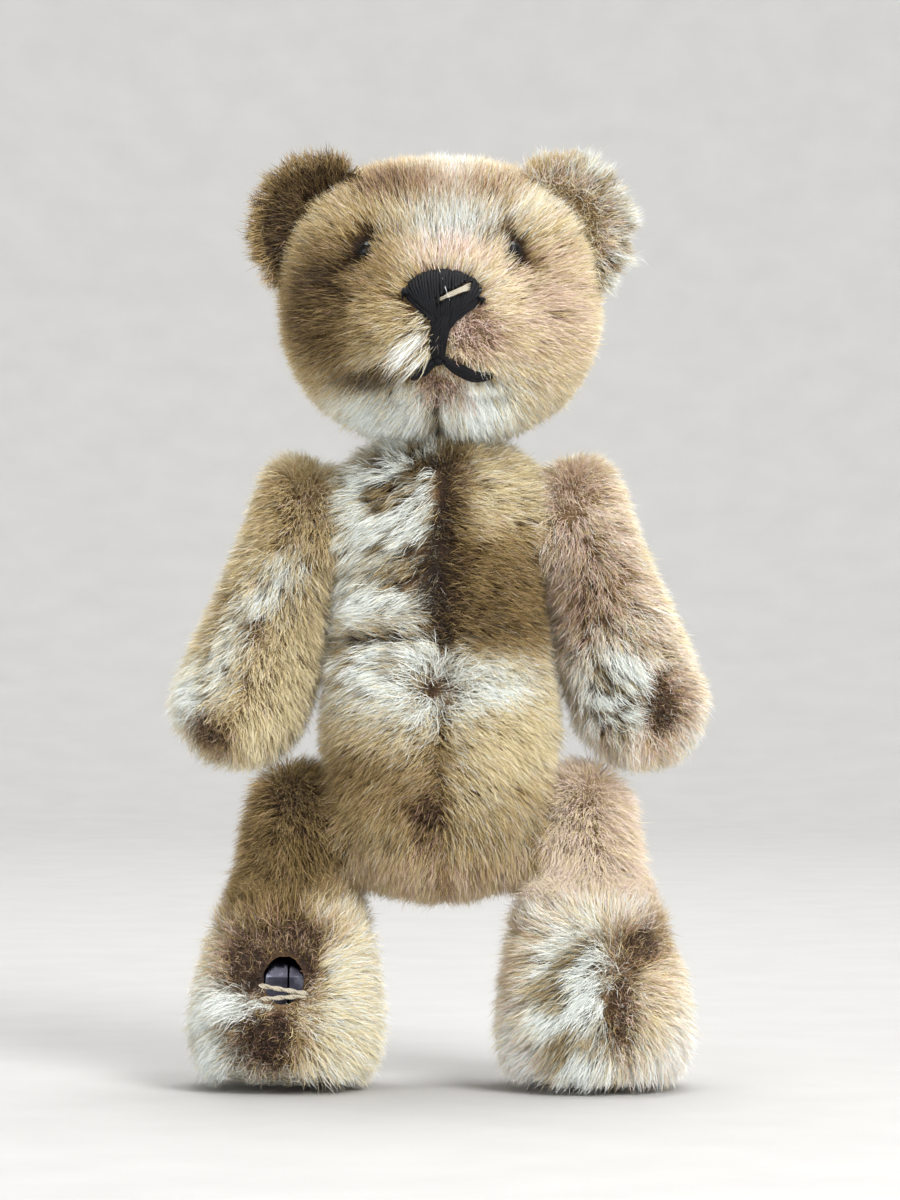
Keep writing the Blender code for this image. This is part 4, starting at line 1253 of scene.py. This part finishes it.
# ---- the parts --------------------------------------------------------------
TORSO_SPINE = ((0, 2.4, 29.5), (0, 2.2, 35), (0, 3.1, 52), (0, 3.1, 56.0))
ARM_SPINE = ((19.6, 3.1, 37.0), (18.1, 3.1, 40.5), (14.2, 3.1, 54.0), (13.9, 3.1, 56.0))
LEG_SPINE = ((14.8, -0.9, 6.0), (14.6, 0.0, 12.5), (14.4, 1.6, 15.0), (14.3, 2.9, 17.5),
             (14.6, 3.1, 21.0), (14.4, 3.1, 27.0))
HEAD_SPINE = ((0.0, 3.1, 75.9), (0.0, 3.1, 75.9))
SIDES = (("left", 1), ("right", -1))
EAR_SHRINK = 0.45           # cloth backing, in from the ear's CAD node


def add_cover(part, skin, style, seed, body, replaced, holed=False):
    """Shows a skin as cloth in place of a CAD node, with its pile."""
    name = f"{part}_cloth"
    shown = with_hole(skin) if holed else skin.copy()
    shown.name = name
    look = style(*skin_points(shown))
    # The backing is coloured by the pile's level, which carries its painted light and shade.
    shade = shown.attributes.new(SHADE_ATTRIBUTE, "FLOAT", "POINT")
    shade.data.foreach_set("value", np.clip(look.level / LEVELS, 0, 1).astype(np.float32))
    shown.transform(Matrix.Scale(MM, 4))
    shown.materials.append(BACKING)
    shown.shade_smooth()
    made = add_object(name, shown, body)
    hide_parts(replaced)
    add_fur(f"{part}_fur", skin, body, style, seed)


def hole_reach(point):
    """1 for a point on the edge of the hole, less inside it."""
    return math.hypot((point.x - HOLE[0]) / HOLE[2], (point.z - HOLE[1]) / HOLE[3])


def with_hole(mesh):
    """A copy with smaller faces and without those in the worn hole of the right toe."""
    bm = bmesh.new()
    bm.from_mesh(mesh)
    bmesh.ops.subdivide_edges(bm, edges=bm.edges[:], cuts=3, use_grid_fill=True)
    bm.normal_update()
    gone = []
    for face in bm.faces:
        middle = face.calc_center_median()
        ragged = 1 + HOLE_RAGGED * noise.noise(middle * 2.0)
        if face.normal.y < 0 and hole_reach(middle) ** 2 < ragged:
            gone.append(face)
    bmesh.ops.delete(bm, geom=gone, context="FACES")
    for vert in bm.verts:
        if vert.is_boundary:
            wavy = 1 + HOLE_WAVY * noise.noise(vert.co * 1.5)
            fit = wavy / hole_reach(vert.co)
            vert.co.x = HOLE[0] + (vert.co.x - HOLE[0]) * fit
            vert.co.z = HOLE[1] + (vert.co.z - HOLE[1]) * fit
    out = bpy.data.meshes.new(mesh.name)
    bm.to_mesh(out)
    bm.free()
    return out


def add_torso():
    skin = made_skin("torso_skin", ("torso_shell_front", "torso_shell_back"),
                     TORSO_SPINE, end_rows=16, middle_rows=40, columns=72)
    seat_out(skin, ((SHOULDER_Z, 9.3), (HIP_Z, 9.45)))
    add_cover("torso", skin, torso_style, 11, "torso", "torso_cover")


def add_head():
    skin = made_skin("head_skin", ("head_shell_front", "head_shell_back"),
                     HEAD_SPINE, end_rows=34, middle_rows=1, columns=120)
    add_cover("head", skin, head_style, 12, "head", "head_cover")
    return skin


def add_limbs():
    arm = made_skin("arm_skin", ("arm_left_shell_inner", "arm_left_shell_outer"),
                    ARM_SPINE, end_rows=12, middle_rows=22, columns=48)
    leg = made_skin("leg_skin", ("leg_left_shell_inner", "leg_left_shell_outer"),
                    LEG_SPINE, end_rows=14, middle_rows=30, columns=64)
    seat_out(arm, ((SHOULDER_Z, 10.2),), on_limb=True)
    seat_out(leg, ((HIP_Z, 10.35),), on_limb=True)
    for end, side in SIDES:
        for limb, left_skin, style, seed in (
                ("arm", arm, arm_style, 20), ("leg", leg, leg_style, 30)):
            name = f"{limb}_{end}"
            skin = left_skin if side > 0 else mirrored(left_skin, f"{limb}_skin_right")
            add_cover(name, skin, partial(style, side), seed + side, name, f"{name}_cover",
                      holed=name == "leg_right")


def add_ears():
    for end, side in SIDES:
        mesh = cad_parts[f"ear_{end}"].data.copy()
        mesh.name = f"ear_{end}_skin"
        mesh.materials.clear()
        mesh.transform(Matrix.Scale(1 / MM, 4))
        co, normals = skin_points(mesh)
        move_points(mesh, co - EAR_SHRINK * normals)
        add_cover(f"ear_{end}", mesh, partial(ear_style, side), 40 + side, "head", f"ear_{end}")


def add_face(skin):
    rng = np.random.default_rng(5)
    tree = BVHTree.FromPolygons([v.co for v in skin.vertices],
                                [tuple(f.vertices) for f in skin.polygons])
    pieces = nose_pieces(tree, rng)
    for path in NOSE_BANDS:
        pieces += stitch_bundle(tree, rng, path, count=4, spread=0.42, height=1.25, radius=0.15)
    for x, z in ((-3.1, 75.6), (3.75, 74.9)):
        pieces += knot(tree, rng, x, z, height=1.35)
    add_threads("nose_threads", pieces, BLACK_THREAD, "head", "nose_thread", "nose_stitching")
    pieces = stitch_bundle(tree, rng, PHILTRUM, count=8, spread=0.78, height=1.4, radius=0.17)
    pieces += knot(tree, rng, -0.1, 69.6, height=1.5)
    add_threads("philtrum_threads", pieces, BLACK_THREAD, "head", "nose_thread",
                "philtrum_stitch")
    for name, replaced, *stitch in MOUTH:
        pieces = stitch_bundle(tree, rng, *stitch)
        add_threads(name, pieces, BLACK_THREAD, "head", "nose_thread", replaced)
    add_threads("nose_worn_slit", slit_pieces(tree), PALE_THREAD, "head", "mohair")
    add_nose_hair(tree)


MENDING_POINTS = 17
MENDING_OVERHANG = 0.8      # past each end of the CAD stitch
MENDING_TUCK = 0.9          # how steeply the ends go down into the pile
MENDING_TWIST = 2.6         # radians to the mm
PLY_OFFSET = 0.10


def add_mending():
    """The two off-white threads drawn across the hole in the right toe."""
    for name in ("toe_stitch_upper", "toe_stitch_lower"):
        low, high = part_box(name)
        co = np.array([v.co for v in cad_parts[name].data.vertices]) / MM
        xs = np.linspace(low.x / MM - MENDING_OVERHANG, high.x / MM + MENDING_OVERHANG,
                         MENDING_POINTS)
        slope = np.polyfit(co[:, 0], co[:, 2], 1)
        middle_y = co[:, 1].mean()
        pieces = []
        for ply in range(2):
            run = []
            for x in xs:
                angle = MENDING_TWIST * (x - xs[0]) + math.pi * ply
                edge = abs(x - xs.mean()) / (xs[-1] - xs[0]) * 2
                tucked = MENDING_TUCK * max(0, edge - 0.65)
                run.append((x, middle_y + PLY_OFFSET * math.cos(angle) + tucked,
                            np.polyval(slope, x) + PLY_OFFSET * math.sin(angle)))
            pieces.append(tube(run, radius=0.15))
        add_threads(name + "_thread", pieces, PALE_THREAD, "leg_right", "mending_thread", name)


def paint_cad():
    """Gives every CAD node that still shows its detailed material."""
    kinds = (("shell", STEEL), ("pin", WIRE), ("spring", WIRE), ("retainer", WIRE),
             ("washer", FIBRE), ("eye", BEAD), ("cover", BACKING), ("ear", BACKING),
             ("nose", BLACK_THREAD), ("philtrum", BLACK_THREAD), ("mouth", BLACK_THREAD),
             ("toe_stitch", PALE_THREAD))
    for name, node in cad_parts.items():
        for word, material in kinds:
            if word in name:
                node.data.materials.clear()
                node.data.materials.append(material)
                break


# ---- studio -----------------------------------------------------------------
def add_floor():
    """A round paper sweep: flat under the bear, curving up to a wall all round."""
    sides, flat, curve, top = 64, 0.55, 0.45, 1.7
    profile = [(0.2, 0.0), (flat, 0.0)]
    profile += [(flat + curve * math.sin(a), curve - curve * math.cos(a))
                for a in np.linspace(0, math.pi / 2, 16)[1:]]
    profile += [(flat + curve, top)]
    verts = [(0.0, 0.0, 0.0)]
    for radius, z in profile:
        verts += [(radius * math.cos(a), radius * math.sin(a), z)
                  for a in np.linspace(0, 2 * math.pi, sides, endpoint=False)]
    faces = [(0, 1 + i, 1 + (i + 1) % sides) for i in range(sides)]
    faces += [face[::-1] for face in ring_faces(len(profile), sides, 1)]
    mesh = bpy.data.meshes.new("studio_sweep")
    mesh.from_pydata(verts, [], faces)
    mesh.materials.append(PAPER)
    mesh.shade_smooth()
    linked("studio_sweep", mesh)


BEAR_MIDDLE = (0, 0, 0.045)
WHITE = (1.0, 1.0, 1.0)
LIGHTS = (
    # name, place, size, watts, colour, target
    ("key_light", (0.24, -0.40, 0.36), 0.26, 3.2, WHITE, BEAR_MIDDLE),
    ("fill_light", (-0.36, -0.50, 0.08), 0.45, 1.6, (0.95, 0.98, 1.0), BEAR_MIDDLE),
    ("top_light", (0.05, 0.12, 0.50), 0.30, 0.9, WHITE, BEAR_MIDDLE),
    ("backdrop_light", (0.0, 0.30, 0.75), 0.50, 2.9, WHITE, (0.0, 0.95, 0.10)),
    ("room_light", (0.0, 0.0, 1.6), 1.2, 6.0, WHITE, BEAR_MIDDLE),
)


def add_light(name, place, size, power, colour, target):
    light = bpy.data.lights.new(name, "AREA")
    light.shape = "DISK"
    light.size = size
    light.energy = power
    light.color = colour
    made = linked(name, light)
    made.location = place
    aim = Vector(target) - Vector(place)
    made.rotation_euler = aim.to_track_quat("-Z", "Y").to_euler()


CAMERA_DISTANCE = 0.50
VIEW_HEIGHT = 0.1148        # metres seen from top to bottom, at the bear's front half
VIEW_DEPTH = -0.004         # depth at which that is measured
VIEW_MIDDLE = (0.00096, 0.0469)


def add_studio():
    add_floor()
    for light in LIGHTS:
        add_light(*light)
    world = bpy.data.worlds.new("studio_air")
    world.use_nodes = True
    air = world.node_tree.nodes["Background"].inputs
    air["Color"].default_value = (0.92, 0.95, 1.0, 1)
    air["Strength"].default_value = 0.5
    bpy.context.scene.world = world
    camera = bpy.data.cameras.new("camera")
    camera.sensor_width = 36.0
    camera.lens = camera.sensor_width * CAMERA_DISTANCE / VIEW_HEIGHT
    camera.clip_start = 0.01
    made = linked("camera", camera)
    made.location = (VIEW_MIDDLE[0], VIEW_DEPTH - CAMERA_DISTANCE, VIEW_MIDDLE[1])
    made.rotation_euler = (math.pi / 2, 0, 0)
    bpy.context.scene.camera = made
    bpy.context.scene.view_settings.view_transform = "Standard"


paint_cad()
add_torso()
head_skin = add_head()
add_limbs()
add_ears()
add_face(head_skin)
add_mending()
add_studio()
